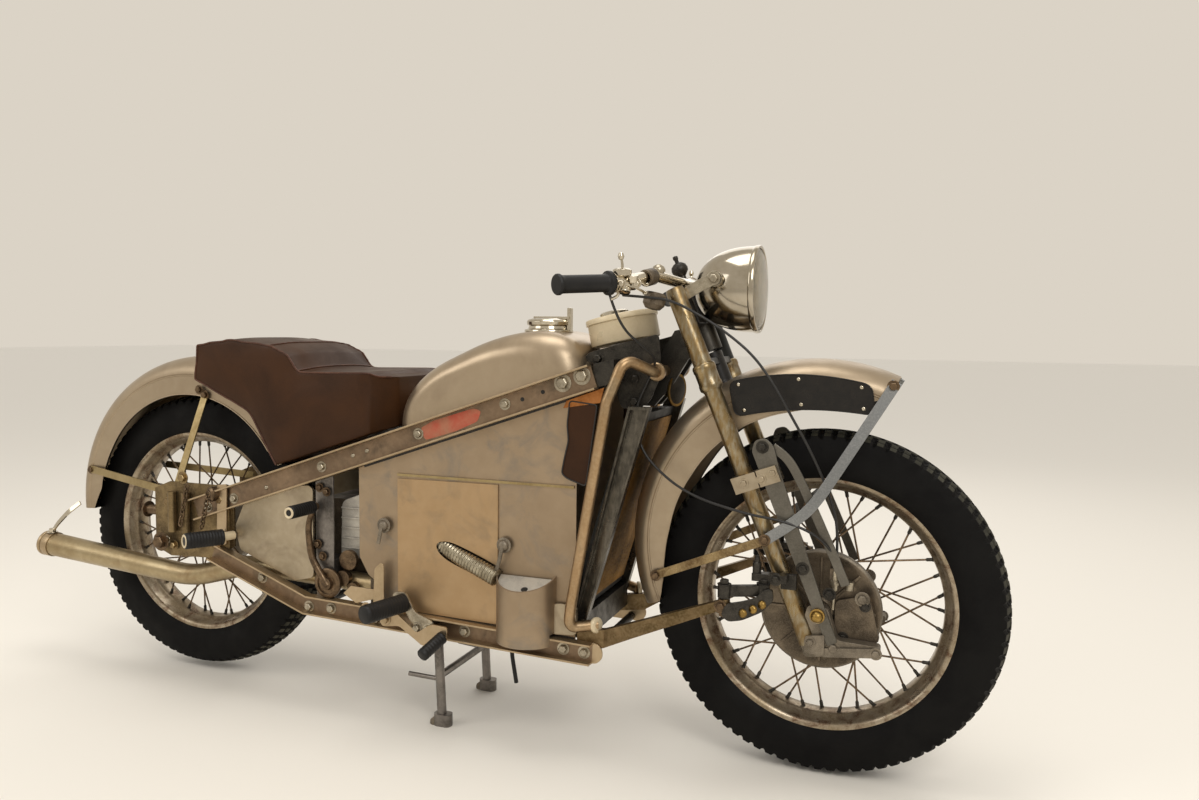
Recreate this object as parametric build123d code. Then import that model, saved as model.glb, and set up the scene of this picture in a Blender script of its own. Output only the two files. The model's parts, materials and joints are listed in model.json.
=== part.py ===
from build123d import *
from math import cos, hypot, radians, sin
import os

# Solo motorcycle with a bolted aluminium channel frame, parked on its centre stand.
# Millimetres. +X is forward, +Y is the rider's left, +Z is up, and Z = 0 is the floor.
# X = 0 is midway between the front of the front tyre and the mouth of the silencer.

# Driving dimensions
wheel_base = 1498.0
front_axle_x = 795.0
rear_axle_x = front_axle_x - wheel_base
tyre_radius = 334.0
tyre_half_width = 52.0
rear_lift = 14.0
front_axle_z = tyre_radius
rear_axle_z = tyre_radius + rear_lift
rake = 22.4
steering_foot_x = front_axle_x + 98.5

# Wheels
rim_flange_radius = 243.0
rim_seat_radius = 235.5
rim_well_radius = 219.0
rim_half_width = 40.0
spoke_count = 40
spoke_radius = 1.8
axle_radius = 9.0
axle_clearance = 0.05
flange_radius = 48.0

# Frame
rail_web_y = 147.0
rail_web_thickness = 4.0
rail_flange_y = 165.0
upper_rail_depth = 50.0
lower_rail_depth = 42.0
sheet = 3.0

# Fork
fork_tube_y = 104.0
fork_tube_radius = 18.0
fork_lower_radius = 17.0
fork_bottom_z = 279.0
fork_top_z = 935.0
fork_collar_z = 745.0
fork_collar_top_z = 788.0

# Mudguards
front_guard_centre = (front_axle_x - 20.0, 440.0)
front_guard_radius = 362.0
rear_guard_centre = (rear_axle_x + 8.0, 410.0)
rear_guard_radius = 368.0
guard_half_width = 76.0
guard_sheet = 2.5

steering_axis = Vector(-sin(radians(rake)), 0.0, cos(radians(rake)))


def steering_x(z):
    """X of the steering axis, and of the fork tubes, at a height."""
    return steering_foot_x - z * sin(radians(rake)) / cos(radians(rake))


def on_fork(z, y=0.0, ahead=0.0):
    """A point beside the steering axis, moved square to it by 'ahead'."""
    return Vector(
        steering_x(z) + ahead * cos(radians(rake)),
        y,
        z + ahead * sin(radians(rake)),
    )


def block(x0, x1, y0, y1, z0, z1):
    """A rectangular block given by its two corners."""
    return Pos((x0 + x1) / 2, (y0 + y1) / 2, (z0 + z1) / 2) * Box(
        abs(x1 - x0), abs(y1 - y0), abs(z1 - z0)
    )


def rod(start, end, radius):
    """A round bar from one point to another."""
    start = Vector(*start)
    end = Vector(*end)
    run = end - start
    return extrude(Plane(origin=start, z_dir=run) * Circle(radius), amount=run.length)


def flat_bar(start, end, width, thickness, face):
    """A flat bar from one point to another. 'face' is the way its broad side looks."""
    start = Vector(*start)
    end = Vector(*end)
    run = end - start
    along = run.normalized()
    broad = Vector(*face)
    broad = (broad - along * broad.dot(along)).normalized()
    plane = Plane(origin=start, x_dir=broad, z_dir=run)
    return extrude(plane * Rectangle(thickness, width), amount=run.length)


def strap(points, width, thickness, face):
    """Flat bars end to end through the points, with round discs at the bends."""
    body = None
    for start, end in zip(points, points[1:]):
        piece = flat_bar(start, end, width, thickness, face)
        body = piece if body is None else body + piece
    return body


def plate(points, y0, y1, corner=0.0):
    """A plate with its outline in X and Z, between two planes across the machine."""
    face = make_face(Polyline(*points, close=True))
    if corner:
        face = fillet(face.vertices(), corner)
    low, high = min(y0, y1), max(y0, y1)
    return extrude(Plane.XZ.offset(-high) * face, amount=high - low)


def bent_tube(points, radius, bends):
    """A tube along straight runs joined by tangent arcs."""
    path = FilletPolyline(*points, radius=bends)
    return sweep(Plane(origin=path @ 0, z_dir=path % 0) * Circle(radius), path=path)


def left_of(solid):
    """The matching piece on the left side."""
    return mirror(solid, about=Plane.XZ)


def pair(solid):
    """A right-hand piece and its mirror image, as solids that do not touch."""
    return Compound(children=[*solid.solids(), *left_of(solid).solids()])


def ring(profile, x, z, arc=360.0, start=0.0):
    """Turn a profile of (radius, y) points about an axle line across the machine."""
    away = Vector(cos(radians(start)), 0.0, sin(radians(start)))
    onward = Vector(-sin(radians(start)), 0.0, cos(radians(start)))
    plane = Plane(origin=(x, 0, z), x_dir=away, z_dir=onward)
    return revolve(plane * profile, Axis((x, 0, z), (0, -1, 0)), arc)


def save(name, solid):
    """Write one node."""
    solid.label = name
    export_step(solid, f"parts/{name}.step")


os.makedirs("parts", exist_ok=True)


# Wheels
def tyre_profile():
    """Half round balloon section between the two beads."""
    bead = (236.0, 34.0)
    lip = (245.0, 35.5)
    bulge = (288.0, tyre_half_width)
    shoulder = (322.0, 42.0)
    edges = [
        Line((bead[0], -bead[1]), (lip[0], -lip[1])),
        ThreePointArc((lip[0], -lip[1]), (bulge[0], -bulge[1]), (shoulder[0], -shoulder[1])),
        ThreePointArc((shoulder[0], -shoulder[1]), (tyre_radius, 0), (shoulder[0], shoulder[1])),
        ThreePointArc((shoulder[0], shoulder[1]), (bulge[0], bulge[1]), (lip[0], lip[1])),
        Line((lip[0], lip[1]), (bead[0], bead[1])),
        Line((bead[0], bead[1]), (bead[0], -bead[1])),
    ]
    return make_face(Wire(edges))


def rim_profile():
    """Well-base rim, as (radius, y) corners from the left flange round to the right one."""
    rows = [
        (rim_flange_radius, rim_half_width),
        (rim_flange_radius, 36.3),
        (rim_seat_radius, 36.3),
        (rim_seat_radius - 1.5, 22.0),
        (rim_well_radius + 4, 14.0),
        (rim_well_radius + 4, -14.0),
        (rim_seat_radius - 1.5, -22.0),
        (rim_seat_radius, -36.3),
        (rim_flange_radius, -36.3),
        (rim_flange_radius, -rim_half_width),
        (rim_seat_radius - 5, -rim_half_width),
        (rim_seat_radius - 6, -26.0),
        (rim_well_radius, -17.0),
        (rim_well_radius, 17.0),
        (rim_seat_radius - 6, 26.0),
        (rim_seat_radius - 5, rim_half_width),
    ]
    return make_face(Polyline(*rows, close=True))


def hub_profile(drum_side, drum_radius):
    """Hub barrel with a brake drum on one side and a spoke flange on the other."""
    bore = axle_radius + axle_clearance
    rows = [
        (bore, -56.0),
        (drum_radius, -56.0),
        (drum_radius, -24.0),
        (34.0, -16.0),
        (26.0, 22.0),
        (flange_radius, 30.0),
        (flange_radius, 36.0),
        (24.0, 40.0),
        (24.0, 56.0),
        (bore, 56.0),
    ]
    rows = [(r, y * drum_side) for r, y in rows]
    return make_face(Polyline(*rows, close=True))


def spokes(x, z, drum_side, drum_radius):
    """Crossed wire spokes, laid alternately inside and outside of each hub flange."""
    # Columns: hub radius, hub y, y step between inside and outside, rim y
    sides = [
        (drum_radius + 2.2, -28.0 * drum_side, 3.0, -7.0 * drum_side),
        (flange_radius + 2.2, 33.0 * drum_side, 3.0, 7.0 * drum_side),
    ]
    count = spoke_count // 4
    solids = []
    for side, (hub_radius, hub_y, step, rim_y) in enumerate(sides):
        sweep_angle = 28.0 if side == 0 else 52.0
        for number in range(count):
            for way in (-1, 1):
                at_rim = 360.0 / count * number + way * 9.0 + side * 9.0
                at_hub = at_rim - way * sweep_angle
                start = (
                    x + hub_radius * cos(radians(at_hub)),
                    hub_y + way * step,
                    z + hub_radius * sin(radians(at_hub)),
                )
                end = (
                    x + (rim_well_radius - 1.5) * cos(radians(at_rim)),
                    rim_y + way * 3.0,
                    z + (rim_well_radius - 1.5) * sin(radians(at_rim)),
                )
                run = Vector(*end) - Vector(*start)
                wire = Plane(origin=start, z_dir=run) * RegularPolygon(spoke_radius, 6)
                solids.append(extrude(wire, amount=run.length))
    return Compound(children=[s for piece in solids for s in piece.solids()])


# Columns: name, axle x, axle z, side of the drum (1 = right, -1 = left), radius of the drum
wheels = [
    ("front", front_axle_x, front_axle_z, 1, 105.0),
    ("rear", rear_axle_x, rear_axle_z, -1, 96.0),
]
for name, x, z, drum_side, drum_radius in wheels:
    save(f"{name}_tyre", ring(tyre_profile(), x, z))
    save(f"{name}_rim", ring(rim_profile(), x, z))
    save(f"{name}_hub", ring(hub_profile(drum_side, drum_radius), x, z))
    save(f"{name}_spokes", spokes(x, z, drum_side, drum_radius))


# Frame rails: lipped channels that open outwards
# Columns: x, z of the rail's middle line
upper_line = [(-610.0, 430.0), (365.0, 762.0)]
lower_line = [(-560.0, 338.0), (-300.0, 243.0), (368.0, 218.0)]


def offset_line(points, distance):
    """The same open line, moved up square to its runs, with its corners mitred."""
    moved = []
    for index, (x, z) in enumerate(points):
        runs = []
        if index > 0:
            runs.append((x - points[index - 1][0], z - points[index - 1][1]))
        if index < len(points) - 1:
            runs.append((points[index + 1][0] - x, points[index + 1][1] - z))
        normals = [(-dz / hypot(dx, dz), dx / hypot(dx, dz)) for dx, dz in runs]
        nx = sum(n[0] for n in normals) / len(normals)
        nz = sum(n[1] for n in normals) / len(normals)
        size = nx * nx + nz * nz
        moved.append((x + nx * distance / size, z + nz * distance / size))
    return moved


def rail(line, depth):
    """Right-hand channel: a web with an outward lip along each edge."""
    half = depth / 2
    wall = 4.0
    upper = offset_line(line, half)
    lower = offset_line(line, -half)
    outline = upper + lower[::-1]
    web = plate(outline, -rail_web_y, -(rail_web_y - rail_web_thickness))
    hollow_top = offset_line(line, half - wall)
    hollow_bottom = offset_line(line, -(half - wall))
    lips = plate(outline, -rail_flange_y, -rail_web_y)
    channel = plate(hollow_top + hollow_bottom[::-1], -rail_flange_y - 1, -rail_web_y)
    return web + (lips - channel)


def lower_rail_front():
    """Round front end of the lower rail."""
    x, z = lower_line[-1]
    return Pos(x, -rail_web_y + rail_web_thickness / 2, z) * Rot(90, 0, 0) * Cylinder(
        lower_rail_depth / 2, rail_web_thickness
    )


upper_rail = rail(upper_line, upper_rail_depth)
lower_rail = rail(lower_line, lower_rail_depth) + lower_rail_front()
save("upper_rails", pair(upper_rail))
save("lower_rails", pair(lower_rail))

inner_web_y = rail_web_y - rail_web_thickness

# Cross tubes between the rails. Columns: x, z, radius. The third is the stand's pivot.
stand_x = 0.0
stand_z = 222.0
stand_pin_radius = 8.0
cross_rows = [
    (-330.0, 527.0, 11.0),
    (-296.0, 234.0, 9.0),
    (stand_x, stand_z, stand_pin_radius),
    (110.0, 218.0, 9.0),
    (355.0, 208.0, 9.0),
]
cross_tubes = [
    rod((x, -inner_web_y, z), (x, inner_web_y, z), radius) for x, z, radius in cross_rows
]
save("cross_tubes", Compound(children=[s for t in cross_tubes for s in t.solids()]))

# Steering head: a tube on the steering axis, two gussets and a bridge to the upper rails
head_bottom_z = 812.0
head_top_z = 862.0
head_tube = rod(on_fork(head_bottom_z), on_fork(head_top_z), 25.0)
gusset_outline = [
    (388.0, 700.0),
    (452.0, 700.0),
    (490.0, 745.0),
    (520.0, 795.0),
    (552.0, 815.0),
    (532.0, 861.0),
    (492.0, 852.0),
    (462.0, 800.0),
    (400.0, 792.0),
]
gusset = plate(gusset_outline, -30.0, -20.0)
bridge_outline = [(362.0, 738.0), (404.0, 752.0), (404.0, 796.0), (362.0, 786.0)]
bridge = plate(bridge_outline, -inner_web_y, inner_web_y)
head = head_tube + gusset + left_of(gusset) + bridge

# Rear end plates with the axle's slide springs
rear_plate_outline = [
    (-735.0, 330.0),
    (-735.0, 470.0),
    (-690.0, 488.0),
    (-545.0, 488.0),
    (-505.0, 455.0),
    (-505.0, 350.0),
    (-560.0, 318.0),
    (-690.0, 312.0),
]
rear_plate = plate(rear_plate_outline, -inner_web_y, -(inner_web_y - 5))
tie_outline = [(-536.0, 352.0), (-512.0, 345.0), (-512.0, 468.0), (-536.0, 462.0)]
tie_y = inner_web_y + 8
tie = plate(tie_outline, -tie_y, -inner_web_y)
rail_rows = [(upper_line, upper_rail_depth / 2 + 0.3), (lower_line, lower_rail_depth / 2 + 0.3)]
for line, half in rail_rows:
    tie = tie - plate(offset_line(line, half) + offset_line(line, -half)[::-1], -170, -100)
rear_plate = rear_plate + tie.solids().sort_by(SortBy.VOLUME)[-1]
for x in (-676.0, -636.0):
    rear_plate += rod((x, -inner_web_y - 9.0, 372.0), (x, -inner_web_y - 9.0, 466.0), 9.4)
axle_hole = rod((rear_axle_x, -160, rear_axle_z), (rear_axle_x, -100, rear_axle_z), axle_radius)
rear_plate = rear_plate - axle_hole
save("rear_plates", pair(rear_plate))
axle_end_radius = 8.0
axle_end_y = 160.0
rear_axle = rod((rear_axle_x, -inner_web_y, rear_axle_z), (rear_axle_x, inner_web_y, rear_axle_z), axle_radius)
rear_axle += rod((rear_axle_x, -axle_end_y, rear_axle_z), (rear_axle_x, axle_end_y, rear_axle_z), axle_end_radius)
save("rear_axle", rear_axle)

# Lower front arms: tapered channels that bow out round the tyre.
# Columns: x, y of the middle, z of the middle, width, depth
arm_rows = [
    (334.0, -135.0, 240.0, 16.0, 36.0),
    (390.0, -135.0, 248.0, 16.0, 36.0),
    (455.0, -165.0, 281.0, 16.0, 30.0),
    (634.0, -176.0, 356.0, 16.0, 18.0),
]


def arm_section(row):
    x, y, z, width, depth = row
    return Plane(origin=(x, y, z), x_dir=(0, 1, 0), z_dir=(1, 0, 0)) * Rectangle(width, depth)


lower_arm = loft([arm_section(row) for row in arm_rows], ruled=True)
lower_arm += rod((634.0, -176.0, 342.0), (634.0, -176.0, 366.0), 11.0)

# Engine and gearbox, as plain blocks at their real places
exhaust_y = -110.0
engine = block(-150, 240, -85, 85, 262, 560)
exhaust_port = block(-149, -96, exhaust_y - 24, -84, 252, 310)
save("engine_block", engine + exhaust_port)
save("gearbox_block", block(-300, -155, -88, 88, 290, 470))
gearbox_plate = plate([(-282, 256), (-236, 252), (-236, 530), (-282, 515)], -inner_web_y, -(inner_web_y - 4))
gearbox_plate = gearbox_plate + block(-282, -236, -(inner_web_y - 4), -88, 316, 344)
save("gearbox_plates", pair(gearbox_plate))

# Side panels, engine doors and the warm-air hose
panel_outline = [
    (-170.0, 552.0),
    (-170.0, 359.0),
    (-148.0, 322.0),
    (-118.0, 300.0),
    (-110.0, 240.0),
    (330.0, 228.0),
    (330.0, 735.0),
]
panel_y = inner_web_y
door_outline = [(-73.0, 256.0), (-73.0, 536.0), (161.0, 538.0), (161.0, 250.0)]
hose_radius = 18.0
hose_route = [(0.0, -113.0, 410.0), (60.0, -142.0, 388.0), (165.0, -158.0, 350.0)]
hose = bent_tube(hose_route, hose_radius, 120.0)
hose_hole = bent_tube(hose_route, hose_radius + 3.0, 120.0)
panel = plate(panel_outline, -panel_y + 0.2, -(panel_y - sheet))
bead = block(-73, 326, -panel_y - 3, -panel_y + 0.2, 541, 547)
door = plate(door_outline, -panel_y - sheet, -panel_y + 0.1)
lower_room = lower_rail_depth / 2 + 0.5
door = door - plate(offset_line(lower_line, lower_room) + offset_line(lower_line, -lower_room)[::-1], -170, -100)
door = door.solids().sort_by(SortBy.VOLUME)[-1]
save("side_panels", pair(panel + bead - hose_hole))
save("engine_doors", pair(door - hose_hole))
save("air_hoses", pair(hose))

# Half-round scuttle over the hose's end: an open cup with a floor
scuttle_x = 226.0
scuttle_half = 63.0
scuttle_reach = 60.0


def half_oval(half, reach, z0, z1):
    """Half of an ellipse, standing on the panel, between two heights."""
    oval = Pos(scuttle_x, -panel_y - 0.2, z0) * extrude(Ellipse(half, reach), amount=z1 - z0)
    return oval & block(scuttle_x - 100, scuttle_x + 100, -panel_y - 100, -panel_y - 0.2, z0, z1)


scuttle = half_oval(scuttle_half, scuttle_reach, 226.0, 395.0)
scuttle = scuttle - half_oval(scuttle_half - 3, scuttle_reach - 3, 330.0, 400.0)
scuttle = scuttle - half_oval(scuttle_half - 3, scuttle_reach - 3, 220.0, 326.0)
rim_face = Plane.YZ * make_face(Polyline((-210, 337), (-100, 381), (-100, 430), (-210, 430), close=True))
rim_cut = Pos(scuttle_x - 100, 0, 0) * extrude(rim_face, amount=200)
rail_room = block(100, 350, -rail_flange_y - 0.4, -100, 200, 249)
scuttle = scuttle - rim_cut - rail_room
scuttle = scuttle - bent_tube(hose_route, hose_radius + 0.5, 120.0)
scuttle = scuttle.solids().sort_by(SortBy.VOLUME)[-1]
save("scuttles", pair(scuttle))

# Aprons beside the radiator
apron = plate([(300, 552), (357, 548), (374, 700), (314, 690)], -panel_y - 2.4, -panel_y + 0.2)
save("aprons", pair(apron))

# Rear covers between the rails, ahead of the wheel
cover_outline = [(-503, 398), (-474, 458), (-375, 498), (-290, 506), (-290, 300), (-340, 288), (-490, 345)]
rear_cover = plate(cover_outline, -(inner_web_y - 0.3), -(inner_web_y - 8), corner=14.0)
save("rear_covers", pair(rear_cover))

# Crash bar: one bent loop round the radiator, with both ends on the lower arms
crash_points = [
    (474.0, 0.0, 772.0),
    (474.0, -104.0, 772.0),
    (430.0, -158.0, 798.0),
    (400.0, -171.0, 715.0),
    (331.0, -171.0, 312.0),
    (327.0, -171.0, 272.0),
    (374.0, -136.0, 273.0),
]
crash_right = bent_tube(crash_points, 11.0, [24.0, 24.0, 24.0, 24.0, 15.0])
crash_bar = crash_right + left_of(crash_right)
save("crash_bar", crash_bar)
save("lower_arms", pair(lower_arm - crash_right))
save("steering_head", head - crash_bar)

# Radiator and its side channels
save("radiator", plate([(424, 690), (454, 690), (339, 296), (309, 296)], -116, 116))
channel_outline = [(431, 706), (475, 706), (349, 274), (322, 274)]
channel = plate(channel_outline, -136, -118)
channel = channel - plate([(435, 700), (469, 700), (347, 280), (327, 280)], -137, -122)
save("radiator_channels", pair(channel))

# Fuel tank between the rails
tank_outline = [(-95, 622), (-92, 690), (-30, 765), (130, 836), (236, 852), (296, 828), (320, 784)]
tank_base = [(334, 738), (-95, 590)]
tank_face = make_face(Polyline(*tank_outline, *tank_base, close=True))
tank_corners = [v for v in tank_face.vertices() if v.Y > 680]
tank_face = fillet(tank_corners, 30)
tank = extrude(Plane.XZ.offset(-132) * tank_face, amount=264)
tank_edges = [e for e in tank.edges() if abs(abs(e.center().Y) - 132) < 1 and e.center().Z > 640]
tank = fillet(tank_edges, 20)
save("fuel_tank", tank)
filler = Pos(222, 0, 851.5) * extrude(Circle(36), amount=20)
save("fuel_cap", filler)

# Header tank of the radiator: a round drum that leans back
header = Plane(origin=(384, 0, 832), z_dir=(-sin(radians(12)), 0, cos(radians(12)))) * Circle(72)
save("header_tank", extrude(header, amount=50))

# Seat, plain, with room for the mudguard under its tail
seat_outline = [
    (-608, 812),
    (-505, 824),
    (-400, 814),
    (-350, 795),
    (-322, 757),
    (-144, 760),
    (-137, 752),
    (-103, 752),
    (-103, 634),
    (-390, 537),
    (-462, 655),
    (-585, 714),
    (-615, 724),
]
seat_half = 148.0
seat_nose = 110.0
seat = plate(seat_outline, -seat_half, seat_half)
nose_outline = [(-144, -160), (-100, -160), (-100, -seat_nose), (-103, -seat_nose), (-144, -seat_half)]
nose_cut = Pos(0, 0, 500) * extrude(make_face(Polyline(*nose_outline, close=True)), amount=400)
seat = seat - nose_cut - left_of(nose_cut)
guard_x, guard_z = rear_guard_centre
seat = seat - rod((guard_x, -82, guard_z), (guard_x, 82, guard_z), rear_guard_radius + 6)
save("seat", seat)


# Mudguards: valanced, with a rolled crown
def guard_profile(radius, depth, bend):
    """Section of a mudguard in (radius, y): crown, two rolled corners, two side valances."""
    def line(shrink):
        side = guard_half_width - shrink
        top = radius - shrink
        corner = bend - shrink
        k = corner * (1 - cos(radians(45)))
        return [
            Line((radius - depth, -side), (top - corner, -side)),
            ThreePointArc((top - corner, -side), (top - k, -side + k), (top, -side + corner)),
            Line((top, -side + corner), (top, side - corner)),
            ThreePointArc((top, side - corner), (top - k, side - k), (top - corner, side)),
            Line((top - corner, side), (radius - depth, side)),
        ]
    outer = line(0.0)
    inner = line(guard_sheet)
    side = guard_half_width
    ends = [
        Line((radius - depth, side), (radius - depth, side - guard_sheet)),
        Line((radius - depth, -side), (radius - depth, -side + guard_sheet)),
    ]
    return make_face(Wire([*outer, *inner, *ends]))


front_guard = ring(guard_profile(front_guard_radius, 94.0, 40.0), *front_guard_centre, arc=133.0, start=66.0)
save("front_mudguard", front_guard)
rear_guard = ring(guard_profile(rear_guard_radius, 90.0, 40.0), *rear_guard_centre, arc=159.0, start=25.0)
save("rear_mudguard", rear_guard)

# Straps that hold the rear mudguard and the silencer
stay_face = (0, 1, 0)
rear_stay = strap([(-640, -78.2, 690), (-672, -139, 478)], 18, 3.5, stay_face)
rear_stay += strap([(-1011, -78.2, 489), (-690, -139, 462)], 18, 3.5, stay_face)
save("rear_stays", pair(rear_stay - plate(rear_plate_outline, -150, -inner_web_y + 5.2)))

# Exhaust on the right: a pipe, an elbow and a silencer that widens to the rear
silencer_front = Vector(-715, exhaust_y, 262.8)
silencer_mouth = Vector(-1127.1, exhaust_y, 296.5)
silencer_run = silencer_mouth - silencer_front
silencer = loft([
    Plane(origin=silencer_front, z_dir=silencer_run) * Circle(25),
    Plane(origin=silencer_mouth, z_dir=silencer_run) * Circle(29),
])
elbow = bent_tube([(-760, exhaust_y, 266.5), (-655, exhaust_y, 257.9), (-490, exhaust_y, 303)], 24.5, 300.0)
pipe = rod((-500, exhaust_y, 299.5), (-151, exhaust_y, 291), 21.0)
save("exhaust", silencer + elbow + pipe)

# Footrests, kick lever and brake pedal
# Columns: inner end, outer end, rubber radius
footrest_rows = [
    ((-42, -171, 280), (-76, -268, 277), 19.5),
    ((-500, -140, 377), (-553, -243, 379), 18.0),
]
rest_bracket = [(-74, 272), (-68, 300), (-40, 302), (-18, 262), (26, 246), (26, 216), (-14, 216), (-40, 262)]
rests = plate(rest_bracket, -171, -165)
for inner_end, outer_end, radius in footrest_rows:
    rests += rod(inner_end, outer_end, radius)
rests = rests - block(-560, -460, -tie_y, -100, 340, 400)
save("footrests", pair(rests))
kick = bent_tube([(-242, -152, 291), (-284, -152, 350), (-292, -152, 420), (-276, -152, 464)], 6.0, 30.0)
kick += rod((-276, -152, 462), (-280, -235, 462), 14.0)
kick += rod((-242, -inner_web_y, 291), (-242, -166, 291), 17.0)
save("kick_lever", kick)
pedal_outline = [
    (-98, 238),
    (-60, 262),
    (-8, 222),
    (24, 244),
    (64, 242),
    (60, 208),
    (6, 196),
    (-50, 232),
    (-90, 226),
]
pedal = plate(pedal_outline, -180, -175)
pedal += rod((54, -176, 222), (36, -234, 197), 13.0)
save("brake_pedal", pedal)

# Centre stand
stand_foot_x = 13.0
stand_half = 106.0
stand_tube = rod((stand_x, -118, stand_z), (stand_x, 118, stand_z), 13.0)
stand_tube = stand_tube - rod((stand_x, -119, stand_z), (stand_x, 119, stand_z), 8.05)
stand_leg = rod((stand_x, -stand_half, stand_z - 9), (stand_foot_x - 3, -stand_half, 20), 10.0)
stand_foot = block(stand_foot_x - 20, stand_foot_x + 20, -stand_half - 13, -stand_half + 13, 0, 26)
stand_foot = fillet(stand_foot.edges().filter_by(Axis.Z), 11)
stand_side = stand_leg + stand_foot
stand_side += rod((5, -stand_half, 100), (-68, -stand_half - 5, 104), 5.0)
stand_cross = rod((6, -stand_half, 108), (6, stand_half, 108), 8.0)
stand_bore = rod((stand_x, -119, stand_z), (stand_x, 119, stand_z), 8.05)
stand = stand_tube + stand_side + left_of(stand_side) + stand_cross - stand_bore
save("centre_stand", stand)

# Fork
def fork_tube():
    """Right-hand fork tube: upper tube, collar and slimmer lower tube."""
    lower = rod(on_fork(fork_bottom_z, -fork_tube_y), on_fork(fork_collar_z, -fork_tube_y), fork_lower_radius)
    collar = rod(on_fork(fork_collar_z, -fork_tube_y), on_fork(fork_collar_top_z, -fork_tube_y), 22.5)
    upper = rod(on_fork(fork_collar_top_z, -fork_tube_y), on_fork(fork_top_z, -fork_tube_y), fork_tube_radius)
    return lower + collar + upper


fork = fork_tube()
save("fork_tubes", pair(fork))


def yoke(z, thickness, reach):
    """A forged bar across both fork tubes, square to the steering axis."""
    origin = on_fork(z)
    plane = Plane(origin=origin, x_dir=(0, 1, 0), z_dir=steering_axis)
    bar = extrude(plane * Rectangle(2 * fork_tube_y, 2 * reach), amount=thickness)
    for y in (-fork_tube_y, fork_tube_y):
        bar += extrude(Plane(origin=on_fork(z, y), z_dir=steering_axis) * Circle(21), amount=thickness)
    for y in (-fork_tube_y, fork_tube_y):
        bar -= rod(on_fork(600, y), on_fork(fork_top_z + 20, y), fork_tube_radius + 0.1)
    return bar


top_yoke = yoke(868.0, 18.0, 22.0)
bottom_yoke = yoke(790.0, 16.0, 24.0)
for y in (-46, 46):
    top_yoke += rod(on_fork(876, y), on_fork(938, y, 4), 13.0)
handlebar_route = [
    (372, -346, 928),
    (452, -240, 936),
    (478, -140, 955),
    (510, -60, 944),
    (510, 60, 944),
    (478, 140, 955),
    (452, 240, 936),
    (372, 346, 928),
]
handlebar = bent_tube(handlebar_route, 11.0, 30.0)
yokes = [*(top_yoke - handlebar).solids(), *bottom_yoke.solids()]
save("fork_yokes", Compound(children=yokes))
save("handlebar", handlebar)
grip_start = Vector(372, -346, 928)
grip_end = Vector(452, -240, 936)
grip_run = (grip_end - grip_start).normalized()
grip = rod(grip_start - grip_run * 4, grip_start + grip_run * 112, 17.0)
save("grips", pair(grip - handlebar))

# Headlamp shell, as (x, radius) along its middle line, and its glass
lamp_z = 932.0
lamp_rim_x = 660.0
lamp_radius = 85.0
lamp_rows = [
    (536, 0),
    (545, 28),
    (566, 54),
    (598, 74),
    (636, 82),
    (644, lamp_radius),
    (lamp_rim_x, lamp_radius),
    (lamp_rim_x, 0),
]
lamp_face = make_face(Plane.XZ * Polyline(*lamp_rows, close=True))
lamp = Pos(0, 0, lamp_z) * revolve(lamp_face, Axis.X, 360)
save("headlamp", lamp)
glass = Pos(lamp_rim_x, 0, lamp_z) * Rot(0, 90, 0) * extrude(Circle(79), amount=8)
save("headlamp_glass", glass)
lamp_bracket = strap([(526, -87, 914), (594, -82.6, 950)], 24, 4, (0, 1, 0))
save("lamp_brackets", pair(lamp_bracket - lamp - fork_tube()))

# Brake back plate and its fixed strut plates
back_plate = rod((front_axle_x, -61, front_axle_z), (front_axle_x, -68, front_axle_z), 111.0)
back_plate += rod((front_axle_x, -61, front_axle_z), (front_axle_x, -84, front_axle_z), 26.0)
back_plate += plate([(822, 275), (904, 287), (886, 363), (866, 369), (822, 357)], -84, -67)
cable_stop = block(814, 832, -97, -67, 400, 419)
back_plate += cable_stop
axle_room = rod((front_axle_x, -140, front_axle_z), (front_axle_x, 140, front_axle_z), axle_radius)
save("brake_plate", back_plate - axle_room)
save("front_axle", rod((front_axle_x, -132, front_axle_z), (front_axle_x, 132, front_axle_z), axle_radius))

strut_outline = [
    (666, 632),
    (672, 652),
    (692, 658),
    (710, 642),
    (722, 604),
    (765, 475),
    (812, 341),
    (832, 290),
    (812, 278),
    (786, 323),
    (753, 390),
    (712, 479),
]
strut = plate(strut_outline, -119, -113)
curved_strut_line = [
    (704, -110, 640),
    (734, -109, 620),
    (758, -108, 578),
    (792, -106, 505),
    (825, -104, 432),
    (842, -102, 392),
]
clamp = block(640, 722, -124, -86, 556, 590) - fork_tube()
foot_outline = [(772, 254), (905, 270), (907, 288), (830, 292), (812, 350), (776, 352), (762, 290)]
foot_lug = plate(foot_outline, -113, -86.5)
strut_side = strut + clamp + foot_lug - fork_tube() - axle_room
strut_side += strap(curved_strut_line, 17, 5, (0, 1, 0))
strut_side = strut_side.solids().sort_by(SortBy.VOLUME)[-1]
save("fork_struts", pair(strut_side))

# Front mudguard stays and number plates
front_stay_line = [(918, -78.2, 765), (833, -110, 621), (784, -124, 539), (748, -127, 505), (697, -127, 468)]
front_stay = strap(front_stay_line, 20, 3.5, (0, 1, 0))
front_stay += strap([(697, -127, 468), (471, -78.2, 367)], 17, 3.5, (0, 1, 0))
front_stay = front_stay - fork_tube() - strut
front_stay = front_stay.solids().sort_by(SortBy.VOLUME)[-1]
save("front_stays", pair(front_stay))
plate_top = ThreePointArc((613, 756), (744, 774), (876, 758))
plate_bottom = ThreePointArc((881, 703), (750, 709), (627, 690))
plate_ends = [Line(plate_top @ 1, plate_bottom @ 0), Line(plate_bottom @ 1, plate_top @ 0)]
plate_face = Plane.XZ * make_face(Wire([plate_top, plate_ends[0], plate_bottom, plate_ends[1]]))
save("number_plates", pair(Pos(0, -77.8, 0) * extrude(plate_face, amount=1.8)))

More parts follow.
